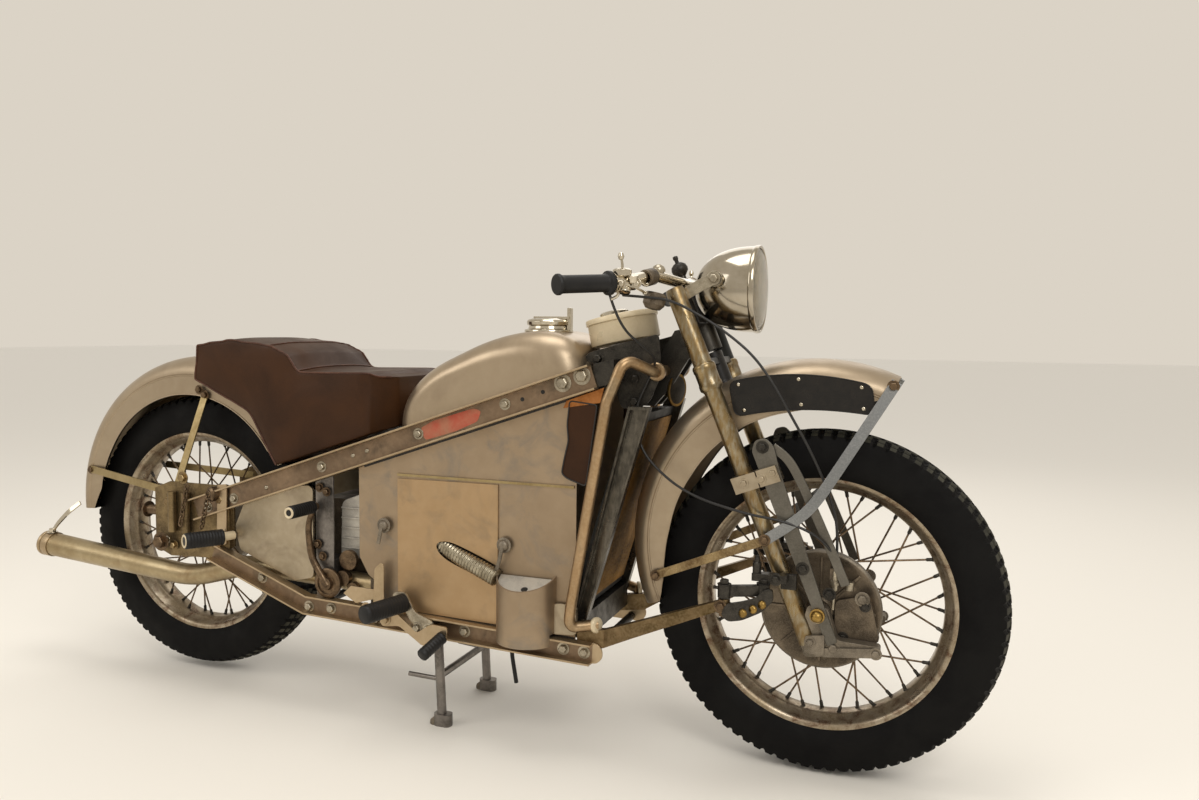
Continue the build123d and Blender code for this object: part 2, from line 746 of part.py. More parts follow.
# Short steering links from the lower arms towards the fork
link = rod((634, -176, 368), (634, -176, 392), 12.0)
link += flat_bar((634, -176, 380), (700, -146, 380), 22.0, 12.0, (0.4, 1, 0))
link += rod((700, -146, 368), (700, -146, 392), 12.0)
save("steering_link_right", link)
save("steering_link_left", left_of(link))

# Front brake cable, whole, from the control on the right grip down to its stop on the back plate
cable_radius = 2.5
cable_share = 0.45
brake_cable = [
    (452, -236, 914),
    (474, -186, 913),
    (516, -148, 909),
    (568, -130, 881),
    (619, -125, 848),
    (668, -123, 808),
    (705, -121, 757),
    (734, -118, 706),
    (764, -113, 654),
    (792, -106, 597),
    (814, -100, 542),
    (826, -96, 485),
    (823, -90, 419),
]


def cord_radii(points):
    """The largest bend at each corner that leaves its two runs room, in millimetres."""
    radii = []
    for before, corner, after in zip(points, points[1:], points[2:]):
        run_in = Vector(*corner) - Vector(*before)
        run_out = Vector(*after) - Vector(*corner)
        half_turn = radians(run_in.get_angle(run_out) / 2)
        radii.append(cable_share * min(run_in.length, run_out.length) * cos(half_turn) / sin(half_turn))
    return radii


cable_radii = cord_radii(brake_cable)
print("brake cable radii", [round(radius) for radius in cable_radii])
save("brake_cable", bent_tube(brake_cable, cable_radius, cable_radii))
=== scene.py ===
import json
from math import cos, pi, radians, sin

import bmesh
import bpy
import numpy as np
from mathutils import Matrix, Vector


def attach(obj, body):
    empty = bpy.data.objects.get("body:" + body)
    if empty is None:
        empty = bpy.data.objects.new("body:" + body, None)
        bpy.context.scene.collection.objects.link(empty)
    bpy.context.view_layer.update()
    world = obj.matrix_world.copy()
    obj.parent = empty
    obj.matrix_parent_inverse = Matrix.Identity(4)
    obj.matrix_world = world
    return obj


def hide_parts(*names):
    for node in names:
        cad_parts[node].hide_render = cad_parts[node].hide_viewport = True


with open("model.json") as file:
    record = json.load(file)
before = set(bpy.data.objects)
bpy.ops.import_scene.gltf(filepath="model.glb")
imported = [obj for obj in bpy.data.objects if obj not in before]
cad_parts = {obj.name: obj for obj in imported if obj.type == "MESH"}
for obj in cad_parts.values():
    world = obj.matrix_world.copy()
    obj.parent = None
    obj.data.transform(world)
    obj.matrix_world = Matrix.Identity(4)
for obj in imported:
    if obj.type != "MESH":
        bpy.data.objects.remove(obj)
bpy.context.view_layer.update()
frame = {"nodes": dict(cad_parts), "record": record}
nodes = frame["nodes"]
print("frame loaded:", len(nodes), "nodes")

# Solo motorcycle on its centre stand. Shapes are worked out in millimetres and stored in metres.
mm = 0.001

# The lines and axles that the frame was built on
bike = {
    "frontAxle": (795.0, 0.0, 334.0),
    "rearAxle": (-703.0, 0.0, 348.0),
    "rake": radians(22.4),
    "steeringFoot": 893.5,  # X of the steering axis at floor level
    "forkY": 104.0,
    "webY": 147.0,  # outer face of the rails' webs
    "panelY": 143.0,  # outer face of the side panels
    "frontGuard": (775.0, 0.0, 440.0),
    "rearGuard": (-695.0, 0.0, 410.0),
}
steeringAxis = np.array([-sin(bike["rake"]), 0.0, cos(bike["rake"])])


def onFork(z, y=0.0):
    # point at a height on the steering axis, moved sideways
    x = bike["steeringFoot"] - z * sin(bike["rake"]) / cos(bike["rake"])
    return np.array([x, y, z])


# Directions that many fittings share
outward = (0, -1, 0)  # from the right side, towards the camera
vertical = (0, 0, 1)
facing = (0, 1, 0)  # the broad side of a bar that lies along the machine


# Shapes: each is (vertices, faces), and joins with others in one piece
def unit(vector):
    # the same direction with a length of one
    vector = np.asarray(vector, float)
    return vector / np.linalg.norm(vector)


def axisFrame(axis):
    # two directions square to the axis, and the axis itself
    w = unit(axis)
    helper = np.array([0.0, 0.0, 1.0]) if abs(w[2]) < 0.9 else np.array([1.0, 0.0, 0.0])
    u = unit(np.cross(helper, w))
    return u, np.cross(w, u), w


def gridShape(points, closeRows=False, closeCols=False):
    # quads between neighbouring rows and columns of a grid of points
    rows, cols = points.shape[:2]
    r, c = np.meshgrid(
        np.arange(rows if closeRows else rows - 1),
        np.arange(cols if closeCols else cols - 1),
        indexing="ij",
    )
    nextR = (r + 1) % rows
    nextC = (c + 1) % cols
    quads = np.stack([r * cols + c, r * cols + nextC, nextR * cols + nextC, nextR * cols + c], -1)
    return points.reshape(-1, 3), quads.reshape(-1, 4).tolist()


def latheShape(profile, centre, axis, steps, closed=False):
    # each profile row is (radius, distance along the axis), turned round the axis
    profile = np.array(profile, float)
    u, v, w = axisFrame(axis)
    angle = np.radians(np.linspace(0, 360, steps, endpoint=False))
    spoke = np.cos(angle)[:, None] * u + np.sin(angle)[:, None] * v
    points = np.array(centre) + profile[None, :, 1:2] * w + profile[None, :, 0:1] * spoke[:, None, :]
    return gridShape(points, closeRows=True, closeCols=closed)


def sweptShape(rings):
    # closed rings joined one after another, with both ends filled
    verts, faces = gridShape(rings, closeCols=True)
    count = rings.shape[1]
    return verts, faces + [list(range(count)), list(range(len(verts) - count, len(verts)))]


def lineTangents(points):
    # the direction of a line at each of its points
    tangents = np.gradient(points, axis=0)
    return tangents / np.linalg.norm(tangents, axis=1)[:, None]


def evenLine(points, count):
    # a line in even steps, and the distance along it at each
    runs = np.concatenate([[0], np.cumsum(np.linalg.norm(np.diff(points, axis=0), axis=1))])
    along = np.linspace(0, runs[-1], count)
    return np.stack([np.interp(along, runs, points[:, i]) for i in range(3)], 1), along


def pathFrames(points):
    # a side and an upward direction at each point of a line, turned as little as possible
    tangents = lineTangents(points)
    side = axisFrame(tangents[0])[0]
    sides = []
    for tangent in tangents:
        side = unit(side - tangent * side.dot(tangent))
        sides.append(side)
    sides = np.array(sides)
    return sides, np.cross(tangents, sides)


def tubeShape(points, radius, sides):
    # a circle of the given radius, or of one radius for each point, carried along a line
    points = np.array(points, float)
    right, up = pathFrames(points)
    radii = np.ones(len(points)) * radius
    angle = np.linspace(0, 2 * pi, sides, endpoint=False)
    ring = np.cos(angle)[None, :, None] * right[:, None] + np.sin(angle)[None, :, None] * up[:, None]
    return sweptShape(points[:, None] + radii[:, None, None] * ring)


def turnedCorners(line, bend, share, steps):
    # each inner corner as a curve that starts 'bend' before it, or at a share of a shorter side
    t = np.linspace(0, 1, steps)[:, None]
    curves = []
    for before, corner, after in zip(line, line[1:], line[2:]):
        start = corner + unit(before - corner) * min(bend, np.linalg.norm(before - corner) * share)
        end = corner + unit(after - corner) * min(bend, np.linalg.norm(after - corner) * share)
        curves += list((1 - t) ** 2 * start + 2 * t * (1 - t) * corner + t ** 2 * end)
    return curves


def bentLine(corners, bend, steps=7):
    # straight runs with curved corners between them
    corners = np.array(corners, float)
    return np.array([corners[0], *turnedCorners(corners, bend, 0.48, steps), corners[-1]])


def strapShape(points, width, thickness, face):
    # a flat bar carried along a line, with its broad side towards 'face'
    points = np.array(points, float)
    tangents = lineTangents(points)
    broad = np.cross(tangents, np.array(face, float))
    broad /= np.linalg.norm(broad, axis=1)[:, None]
    thin = np.cross(broad, tangents)
    corners = np.array([[-1, -1], [1, -1], [1, 1], [-1, 1]]) * [width / 2, thickness / 2]
    section = corners[None, :, 0:1] * broad[:, None] + corners[None, :, 1:2] * thin[:, None]
    return sweptShape(points[:, None] + section)


def prismShape(outline, low, high, plane="xz"):
    # a flat outline pushed from one plane to another
    outline = np.array(outline, float)
    order = {"xz": (0, 2, 1), "xy": (0, 1, 2)}[plane]
    count = len(outline)
    verts = np.zeros((2 * count, 3))
    verts[:, order[0]] = np.tile(outline[:, 0], 2)
    verts[:, order[1]] = np.tile(outline[:, 1], 2)
    verts[:, order[2]] = np.repeat([low, high], count)
    turn = np.arange(count)
    after = (turn + 1) % count
    sides = np.stack([turn, after, after + count, turn + count], 1).tolist()
    return verts, sides + [list(range(count)), list(range(count, 2 * count))]


def rodShape(radius, length, centre, axis, steps):
    # a plain round bar from its centre along the axis
    return latheShape([(0, 0), (radius, 0), (radius, length), (0, length)], centre, axis, steps)


def boxShape(low, high):
    # a plain block between two corners
    x0, y0, z0 = low
    x1, y1, z1 = high
    return prismShape([(x0, z0), (x1, z0), (x1, z1), (x0, z1)], y0, y1)


def roundedOutline(corners, bend, steps=6):
    # a closed outline with rounded corners
    corners = np.array(corners, float)
    around = np.vstack([corners[-1:], corners, corners[:1]])
    return np.array(turnedCorners(around, bend, 0.49, steps))


def boltShape(centre, axis, across, height):
    # a hexagon head with a low dome, on a round washer
    radius = across / 1.732  # from the middle to a corner
    base = 1.6  # the washer's thickness
    washer = rodShape(radius * 1.5, base, centre, axis, 20)
    head = [(0, base), (radius, base), (radius, base + height * 0.8), (radius * 0.8, base + height),
            (0, base + height)]
    return combined([washer, latheShape(head, centre, axis, 6)])


def rivetShape(centre, axis, radius):
    # a round snap head, about half as high as its radius
    bow = np.linspace(0, pi / 2, 5)
    rows = [(radius, 0.0)] + [(radius * cos(a), radius * 0.55 * sin(a)) for a in bow[1:]]
    return latheShape([(0, -0.5), (radius, -0.5)] + rows, centre, axis, 14)


def combined(shapes):
    # several shapes as one
    verts = []
    faces = []
    start = 0
    for points, polygons in shapes:
        verts.append(points)
        faces += [[index + start for index in polygon] for polygon in polygons]
        start += len(points)
    return np.vstack(verts), faces


def mirroredShape(shape):
    # the same shape on the machine's left side
    verts, faces = shape
    return verts * [1, -1, 1], [polygon[::-1] for polygon in faces]


def bothSides(shapes):
    # shapes of the right side, and their mirror images
    return shapes + [mirroredShape(shape) for shape in shapes]


def makePiece(name, shapes, surface, body, slot, **more):
    # one object from its shapes
    verts, faces = combined(shapes)
    mesh = bpy.data.meshes.new(name)
    mesh.from_pydata((verts * mm).tolist(), [], faces)
    return finishPiece(name, mesh, surface, body, slot, **more)


def makePair(name, shapes, surface, body, slot, **more):
    # the right side's shapes and their mirror images as one object
    return makePiece(name, bothSides(shapes), surface, body, slot, **more)


def finishPiece(name, mesh, surface, body, slot, bevel=0.0, levels=0, sharp=38, replaces=(), merge=0.001):
    # closes seams and poles, turns faces outwards, and gives the mesh its finish, edges and body
    shell = bmesh.new()
    shell.from_mesh(mesh)
    bmesh.ops.remove_doubles(shell, verts=shell.verts, dist=merge * mm)
    bmesh.ops.dissolve_degenerate(shell, edges=shell.edges, dist=merge * mm)
    bmesh.ops.recalc_face_normals(shell, faces=shell.faces)
    shell.to_mesh(mesh)
    shell.free()
    mesh.polygons.foreach_set("use_smooth", [True] * len(mesh.polygons))
    mesh.set_sharp_from_angle(angle=radians(sharp))
    mesh.materials.clear()
    mesh.materials.append(surfaces[surface])
    piece = bpy.data.objects.new(name, mesh)
    bpy.context.scene.collection.objects.link(piece)
    if bevel:
        edge = piece.modifiers.new("edge", "BEVEL")
        edge.width = bevel * mm
        edge.segments = 2
        edge.limit_method = "ANGLE"
        edge.angle_limit = radians(35)
        edge.harden_normals = True
    if levels:
        smooth = piece.modifiers.new("smooth", "SUBSURF")
        smooth.levels = levels
        smooth.render_levels = levels
    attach(piece, body)
    if replaces:
        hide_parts(*replaces)
    return piece


def finishedCopy(node, surface, bevel=0.8):
    # the frame's own solid with merged faces and softened edges
    mesh = nodes[node].data.copy()
    shell = bmesh.new()
    shell.from_mesh(mesh)
    bmesh.ops.remove_doubles(shell, verts=shell.verts, dist=1e-5)
    bmesh.ops.dissolve_limit(
        shell, angle_limit=radians(1.0), verts=shell.verts, edges=shell.edges)
    shell.to_mesh(mesh)
    shell.free()
    bodies = frame["record"]["behaviour"]["bodies"]
    body = [name for name, members in bodies.items() if node in members][0]
    slot = [part["material_slot"] for part in frame["record"]["subparts"] if part["node"] == node][0]
    return finishPiece("made_" + node, mesh, surface, body, slot, bevel=bevel, sharp=32, replaces=(node,),
                       merge=0.01)


def readTable(items, attribute, columns, kind=float):
    # one attribute of all points, edges or faces, a row for each
    values = np.empty(len(items) * columns, dtype=kind)
    items.foreach_get(attribute, values)
    return values.reshape(-1, columns)


# Materials
def toLinear(code):
    # an sRGB hex value as a linear colour
    channels = [int(code[i:i + 2], 16) / 255 for i in (1, 3, 5)]
    return [c / 12.92 if c <= 0.04045 else ((c + 0.055) / 1.055) ** 2.4 for c in channels] + [1.0]


def addNode(tree, kind, settings=None, links=None):
    # one node, with its settings by attribute or socket and its links by socket
    node = tree.nodes.new(kind)
    for key, value in (settings or {}).items():
        if isinstance(key, str) and hasattr(node, key):
            setattr(node, key, value)
        else:
            node.inputs[key].default_value = value
    for key, source in (links or {}).items():
        tree.links.new(source, node.inputs[key])
    return node


def newSurface(
        name, base, dark, pale, patchMm, grainMm, roughness, metallic, bump, stain=None, stainShare=0.0,
        stainMm=60, stainFrom=0.5, spread=0.12, grainShare=0.35, specular=0.5, stretch=(1, 1, 1)):
    # a base colour with darker patches, stains and paler fine grain; roughness and height follow them
    material = bpy.data.materials.new(name)
    material.use_nodes = True
    tree = material.node_tree
    tree.nodes.clear()
    place = addNode(tree, "ShaderNodeTexCoord").outputs["Object"]
    stretched = addNode(tree, "ShaderNodeMapping", {"Scale": stretch}, {"Vector": place}).outputs["Vector"]
    patches = addNode(
        tree, "ShaderNodeTexNoise",
        {"Scale": 1000 / patchMm, "Detail": 5.0, "Roughness": 0.6, "Distortion": 0.4}, {"Vector": place})
    stains = addNode(tree, "ShaderNodeTexNoise",
                     {"Scale": 1000 / stainMm, "Detail": 4.0, "Roughness": 0.6, "Distortion": 0.8},
                     {"Vector": stretched})
    grain = addNode(
        tree, "ShaderNodeTexNoise", {"Scale": 1000 / grainMm, "Detail": 3.0, "Roughness": 0.55},
        {"Vector": stretched})
    # a noise lies mostly between 0.35 and 0.65, so each range below takes its share of that
    patchAmount = addNode(
        tree, "ShaderNodeMapRange", {"From Min": 0.5 - spread, "From Max": 0.5 + spread},
        {"Value": patches.outputs["Fac"]})
    stainAmount = addNode(
        tree, "ShaderNodeMapRange", {"From Min": stainFrom, "From Max": 0.66, "To Max": stainShare},
        {"Value": stains.outputs["Fac"]})
    grainAmount = addNode(
        tree, "ShaderNodeMapRange", {"From Min": 0.42, "From Max": 0.68, "To Max": grainShare},
        {"Value": grain.outputs["Fac"]})
    body = addNode(
        tree, "ShaderNodeMix", {"data_type": "RGBA", 6: toLinear(dark), 7: toLinear(base)},
        {0: patchAmount.outputs["Result"]})
    stained = addNode(
        tree, "ShaderNodeMix", {"data_type": "RGBA", 7: toLinear(stain or dark)},
        {0: stainAmount.outputs["Result"], 6: body.outputs[2]})
    colour = addNode(
        tree, "ShaderNodeMix", {"data_type": "RGBA", 7: toLinear(pale)},
        {0: grainAmount.outputs["Result"], 6: stained.outputs[2]})
    low, high = roughness
    rough = addNode(
        tree, "ShaderNodeMapRange", {"From Min": 0.35, "From Max": 0.65, "To Min": high, "To Max": low},
        {"Value": patches.outputs["Fac"]})
    height = addNode(
        tree, "ShaderNodeBump", {"Strength": bump, "Distance": grainMm * 0.15 * mm},
        {"Height": grain.outputs["Fac"]})
    shader = addNode(
        tree, "ShaderNodeBsdfPrincipled", {"Metallic": metallic, "Specular IOR Level": specular},
        {"Base Color": colour.outputs[2], "Roughness": rough.outputs["Result"],
         "Normal": height.outputs["Normal"]})
    addNode(tree, "ShaderNodeOutputMaterial", None, {"Surface": shader.outputs["BSDF"]})
    return material


# Each row: name, base, dark patches, pale grain, patch and grain size in mm, roughness from and to,
# metallic, bump height, and what it has besides
finishes = {
    # Bare half-hard sheet, handled for years: dull, with soft grey stains
    "sheetAluminium": (
        "wornAluminiumSheet", "#a7937a", "#907d65", "#b5a289", 260, 26, (0.36, 0.5), 0.85, 0.03,
        {"stain": "#80786e", "stainShare": 0.6, "stainMm": 75, "spread": 0.26, "grainShare": 0.14}),
    # The doors' sheet is newer: satin, and warmer in colour
    "doorAluminium": (
        "warmAluminiumSheet", "#b69975", "#a28764", "#c1a988", 240, 22, (0.34, 0.48), 0.85, 0.03,
        {"stain": "#8b7a64", "stainShare": 0.5, "stainMm": 90, "spread": 0.26, "grainShare": 0.14}),
    # Guards are beaten by hand and rubbed, with faint broad stains
    "guardAluminium": (
        "beatenGuardSheet", "#ae9d85", "#998871", "#bdae97", 260, 22, (0.34, 0.46), 0.85, 0.03,
        {"stain": "#887762", "stainShare": 0.3, "stainMm": 150, "spread": 0.26, "grainShare": 0.14}),
    # Sand-cast alloy: a fine open grain and no shine
    "castAluminium": (
        "sandCastAluminium", "#83796a", "#5f574b", "#a2988a", 45, 1.6, (0.42, 0.6), 0.85, 0.4, {}),
    # Hand-beaten tank sheet, rubbed up with wool
    "tankAluminium": (
        "rubbedAluminiumTank", "#b2a088", "#9f8e76", "#c0af97", 220, 24, (0.3, 0.4), 0.9, 0.02,
        {"stain": "#8d7c69", "stainShare": 0.35, "stainMm": 160, "spread": 0.26, "grainShare": 0.14}),
    # Nickel plate gone to bronze, with rust coming through
    "wornNickel": (
        "tarnishedNickelPlate", "#95815d", "#685338", "#b3a07d", 38, 3.5, (0.27, 0.5), 0.95, 0.25, {}),
    # Heat-stained steel of the silencer: even, pale and satin
    "silencerSteel": (
        "heatStainedSilencer", "#b3a382", "#927f5d", "#c7b898", 160, 12, (0.3, 0.44), 0.9, 0.05,
        {"stain": "#856b49", "stainShare": 0.5, "stainMm": 90, "spread": 0.25, "grainShare": 0.2}),
    # The plate on the wheels, grey with rust in blotches
    "rimPlate": (
        "rustedRimPlate", "#a79a86", "#877860", "#c1b6a3", 60, 3.0, (0.26, 0.46), 0.9, 0.15,
        {"stain": "#5e4430", "stainShare": 0.9, "stainMm": 30, "stainFrom": 0.46, "grainShare": 0.25}),
    # Bright nickel and chromium plate, polished
    "brightPlate": (
        "polishedBrightPlate", "#cfc6b4", "#a69c88", "#ded7c8", 60, 2.5, (0.07, 0.2), 1.0, 0.03,
        {"spread": 0.2}),
    # Black stoving paint over steel; on the far fork's upper tube it stands as painted shade
    "blackPaintAndShade": (
        "oldBlackPaintAndShade", "#232524", "#171817", "#3f423f", 40, 2.0, (0.26, 0.44), 0.3, 0.1,
        {"grainShare": 0.15}),
    # Black enamel of the number plates, chipped to brown in specks
    "plateBlack": (
        "chippedPlatePaint", "#1b1815", "#0e0c0b", "#4a4234", 18, 1.6, (0.26, 0.42), 0.0, 0.12,
        {"grainShare": 0.14, "specular": 0.3}),
    # Vulcanised rubber, greyed by dust
    "rubber": (
        "mouldedRubber", "#131211", "#0c0b0b", "#26231f", 30, 1.2, (0.42, 0.58), 0.0, 0.15,
        {"grainShare": 0.15, "specular": 0.35}),
    # Tyre walls: old rubber, matt and nearly black
    "tyre": (
        "tyreRubber", "#070605", "#050404", "#110e0b", 80, 2.0, (0.62, 0.8), 0.0, 0.25,
        {"grainShare": 0.25, "specular": 0.16}),
    # The tops of the blocks: greyed by road dust, and made paler still as painted highlight of the lit
    # tread
    "treadDustAndHighlight": (
        "dustyLitTreadRubber", "#36342a", "#1e1d17", "#524e3f", 90, 2.5, (0.6, 0.8), 0.0, 0.3,
        {"grainShare": 0.35, "specular": 0.2}),
    # Brown leathercloth: coated cotton with a pressed grain about 1.7 mm across
    "leathercloth": (
        "brownLeathercloth", "#3a2210", "#2f1b0c", "#4a2f1a", 120, 1.7, (0.38, 0.53), 0.0, 0.25,
        {"grainShare": 0.2, "specular": 0.15}),
    # Cream stoving enamel, yellowed and softly glossy
    "cream": (
        "agedCreamEnamel", "#d2c1a0", "#bfac8a", "#ddd0b2", 70, 4.0, (0.25, 0.4), 0.1, 0.03,
        {"spread": 0.2, "grainShare": 0.15}),
    # Turned brass, dulled, with paler rubbed spots
    "brass": (
        "dullBrass", "#a58547", "#7d6334", "#c9ab6c", 20, 1.5, (0.28, 0.45), 1.0, 0.15, {}),
    # Copper strip browned in the air
    "copper": (
        "dullCopperStrip", "#ab7040", "#8a5529", "#c48c5a", 40, 4.0, (0.3, 0.45), 0.95, 0.06,
        {"grainShare": 0.2}),
    # Zinc-plated fasteners and strips, gone grey
    "zincPlate": (
        "greyedZincPlate", "#aaa08c", "#857b69", "#c6beae", 22, 2.0, (0.26, 0.42), 0.9, 0.08, {}),
    # Oiled steel with brown rust in it
    "brownSteel": (
        "brownedSteel", "#6f5b45", "#46382a", "#968066", 18, 1.4, (0.3, 0.5), 0.9, 0.25, {}),
    # Steel blackened in the fire, with grey scuffs; the same dark finish is also the painted shade sheet
    # behind the lower arms' roots
    "darkSteelAndShade": (
        "blackenedSteelAndShade", "#3d3a35", "#262421", "#5d574d", 26, 2.0, (0.3, 0.5), 0.8, 0.12, {}),
    # Plate worn through on the fork legs, with long grey scuffs
    "forkPlate": (
        "wornForkPlate", "#95815c", "#796341", "#a9a89b", 42, 6, (0.24, 0.44), 0.95, 0.12,
        {"stain": "#5a5244", "stainShare": 0.4, "stainMm": 34, "stretch": (1, 1, 0.3), "grainShare": 0.45,
         "spread": 0.18}),
    # Galvanised strip, wound into a hose: pale ridges with a satin shine
    "hoseSteel": (
        "woundStripHose", "#a39a86", "#7a705c", "#c2baa6", 24, 2.0, (0.24, 0.4), 0.95, 0.05, {}),
    # A new bar of drawn aluminium, not yet dulled
    "stayAluminium": (
        "drawnAluminiumBar", "#8f9192", "#787a7b", "#aaabaa", 80, 3.0, (0.26, 0.38), 0.95, 0.03,
        {"spread": 0.25}),
    # Cut and filed plate of the fork's struts
    "strutAluminium": (
        "filedStrutPlate", "#706c64", "#58544c", "#8c877c", 80, 3.0, (0.34, 0.48), 0.9, 0.05,
        {"spread": 0.22, "grainShare": 0.2}),
    # The rails' lips: pale and satin; the paleness is partly bare rubbed metal and partly painted highlight
    # along the lit flange edges
    "railAluminium": (
        "paleRailLips", "#b6a183", "#9d896b", "#c6b497", 120, 8, (0.3, 0.44), 0.9, 0.04,
        {"spread": 0.22, "grainShare": 0.2}),
    # The webs between the lips: browned, with grey stains
    "railWeb": (
        "brownedRailWeb", "#8c765f", "#6e5c4a", "#a28c72", 120, 8, (0.34, 0.5), 0.85, 0.05,
        {"stain": "#51473c", "stainShare": 0.6, "stainMm": 60, "spread": 0.22, "grainShare": 0.2}),
    # Nickel plate of the crash bar, dulled and warm, with grey stains
    "barNickel": (
        "dulledBarPlate", "#b39775", "#927653", "#d1bd9c", 110, 6, (0.28, 0.42), 0.95, 0.05,
        {"stain": "#847965", "stainShare": 0.5, "stainMm": 70, "spread": 0.22, "grainShare": 0.2}),
    # Forged arms browned by oil and rust
    "armSteel": (
        "brownedArmForging", "#7a664a", "#56462b", "#948162", 60, 5, (0.3, 0.5), 0.9, 0.08, {}),
    # Rolled channel steel, grey and drawn in long streaks
    "channelSteel": (
        "greyedChannelSteel", "#5d5850", "#3d3a34", "#8d8678", 60, 6, (0.22, 0.38), 0.95, 0.05,
        {"stretch": (1, 1, 0.3), "grainShare": 0.3}),
    # Plate steel beside the gearbox and of the stand, grey and oily
    "plateSteel": (
        "oiledPlateSteel", "#827c76", "#5f5a55", "#a19a92", 70, 6, (0.3, 0.45), 0.9, 0.05,
        {"grainShare": 0.25}),
    # Rear plates: cast bronze-brown, grained and dull
    "rearCasting": (
        "bronzedRearPlate", "#816e4d", "#594a33", "#9f8a67", 40, 3, (0.36, 0.55), 0.85, 0.15, {}),
    # Castings under oil: brown-grey with an open grain
    "darkCasting": (
        "oiledCasting", "#6c6050", "#4a4136", "#8b7e6c", 40, 1.8, (0.38, 0.56), 0.8, 0.3, {}),
    # Castings blasted clean: pale and matt
    "paleCasting": (
        "blastedCasting", "#c9c3b6", "#a9a399", "#dcd7cc", 50, 2.0, (0.45, 0.6), 0.7, 0.25, {}),
    # Thin covers, rubbed to a silvery satin
    "coverAluminium": (
        "silverCoverSheet", "#aea089", "#958871", "#c3b7a3", 160, 14, (0.3, 0.42), 0.9, 0.03,
        {"stain": "#7e705e", "stainShare": 0.4, "stainMm": 80, "spread": 0.25, "grainShare": 0.18}),
    # The lamp's bowl: polished nickel, close to a mirror
    "lampNickel": (
        "polishedLampNickel", "#b6ad9d", "#9c927f", "#c7c0b4", 110, 8, (0.1, 0.2), 1.0, 0.01,
        {"spread": 0.22, "grainShare": 0.15}),
    # Red paint worn through to the metal
    "redPaint": (
        "fadedRedPaint", "#b2513c", "#a8765a", "#b98266", 60, 8, (0.4, 0.55), 0.4, 0.04,
        {"spread": 0.16, "grainShare": 0.2}),
    # Casings of the cables, black and faintly glossy
    "cableBlack": (
        "cableCasing", "#1a1816", "#121110", "#2e2a26", 30, 1.2, (0.32, 0.46), 0.0, 0.1,
        {"grainShare": 0.15}),
    # Bound edges, and the painted shadow strips in the gaps by the rails, black-brown and matt
    "black": (
        "blackBindingAndGapShadow", "#1f1914", "#161210", "#2e2620", 30, 1.2, (0.4, 0.55), 0.0, 0.2,
        {"grainShare": 0.2}),
    # Piping of the seat, its edge worn paler than the cloth
    "pipingBrown": (
        "wornPipingEdge", "#4a2a1a", "#361c10", "#6d4a34", 40, 3, (0.4, 0.52), 0.0, 0.2,
        {"specular": 0.3}),
    # Radiator's frame under worn black paint, matt; the same dark finish is the painted shade in holes and
    # in the silencer's mouth
    "core": (
        "radiatorPaintAndHoleShade", "#211f1c", "#141311", "#3b362e", 40, 3.0, (0.5, 0.7), 0.3, 0.2, {}),
    # Brass of the radiator's tubes, brown in the hollows
    "coreBrass": (
        "agedCoreBrass", "#84602c", "#3f2f19", "#a8803f", 90, 4.0, (0.35, 0.55), 0.85, 0.1,
        {"spread": 0.16, "grainShare": 0.25}),
    # Bars tinted yellow as a painted reflection of warm wood, with a satin shine
    "reflectionYellowBar": (
        "reflectionYellowStayBar", "#ab986e", "#8a7751", "#bfae89", 90, 8, (0.28, 0.42), 0.9, 0.04,
        {"spread": 0.22, "grainShare": 0.2}),
}
surfaces = {key: newSurface(*row, **extras) for key, (*row, extras) in finishes.items()}
print("materials made")


# Camera, floor and lights
view = {
    "place": (0.9797, -1.8077, 0.8510),
    "yaw": -0.3480,  # turned to the left of straight across
    "pitch": -0.0754,
    "roll": 0.0114,
    "lens": 27.70,
}
forward = np.array([
    sin(view["yaw"]) * cos(view["pitch"]), cos(view["yaw"]) * cos(view["pitch"]), sin(view["pitch"])])
level = np.array([cos(view["yaw"]), -sin(view["yaw"]), 0.0])
above = np.cross(level, forward)
right = level * cos(view["roll"]) + above * sin(view["roll"])
upward = -level * sin(view["roll"]) + above * cos(view["roll"])
cameraData = bpy.data.cameras.new("camera")
cameraData.lens = view["lens"]
cameraData.sensor_width = 36
camera = bpy.data.objects.new("camera", cameraData)
camera.matrix_world = Matrix((
    (right[0], upward[0], -forward[0], view["place"][0]),
    (right[1], upward[1], -forward[1], view["place"][1]),
    (right[2], upward[2], -forward[2], view["place"][2]),
    (0, 0, 0, 1)))
bpy.context.scene.collection.objects.link(camera)
bpy.context.scene.camera = camera
bpy.context.scene.view_settings.view_transform = "Standard"

studio = {
    "floor": "#e6ded0",
    "backdrop": "#dbd3c6",
    "ambient": 0.82,
    # place, size in metres, power in watts, point it looks at
    "lamps": [
        ((2.4, -2.8, 3.2), 1.6, 62, (0.2, 0, 0.4)),
        ((-2.6, -2.6, 2.6), 2.0, 26, (-0.2, 0, 0.4)),
        ((0.0, 3.2, 2.8), 2.4, 20, (0, 0, 0.5)),
        ((0.1, -0.2, 3.6), 1.6, 30, (0, 0, 0.3)),
    ],
}
world = bpy.data.worlds.new("softStudio")
bpy.context.scene.world = world
world.use_nodes = True
worldTree = world.node_tree
worldTree.nodes.clear()
rayKinds = addNode(worldTree, "ShaderNodeLightPath")
seen = addNode(
    worldTree, "ShaderNodeMath", {"operation": "MAXIMUM"},
    {0: rayKinds.outputs["Is Camera Ray"], 1: rayKinds.outputs["Is Glossy Ray"]})
seenThrough = addNode(
    worldTree, "ShaderNodeMath", {"operation": "MAXIMUM"},
    {0: seen.outputs[0], 1: rayKinds.outputs["Is Transmission Ray"]})
ambient = addNode(
    worldTree, "ShaderNodeBackground", {"Color": (1, 1, 1, 1), "Strength": studio["ambient"]})
backdrop = addNode(
    worldTree, "ShaderNodeBackground", {"Color": toLinear(studio["backdrop"]), "Strength": 1.0})
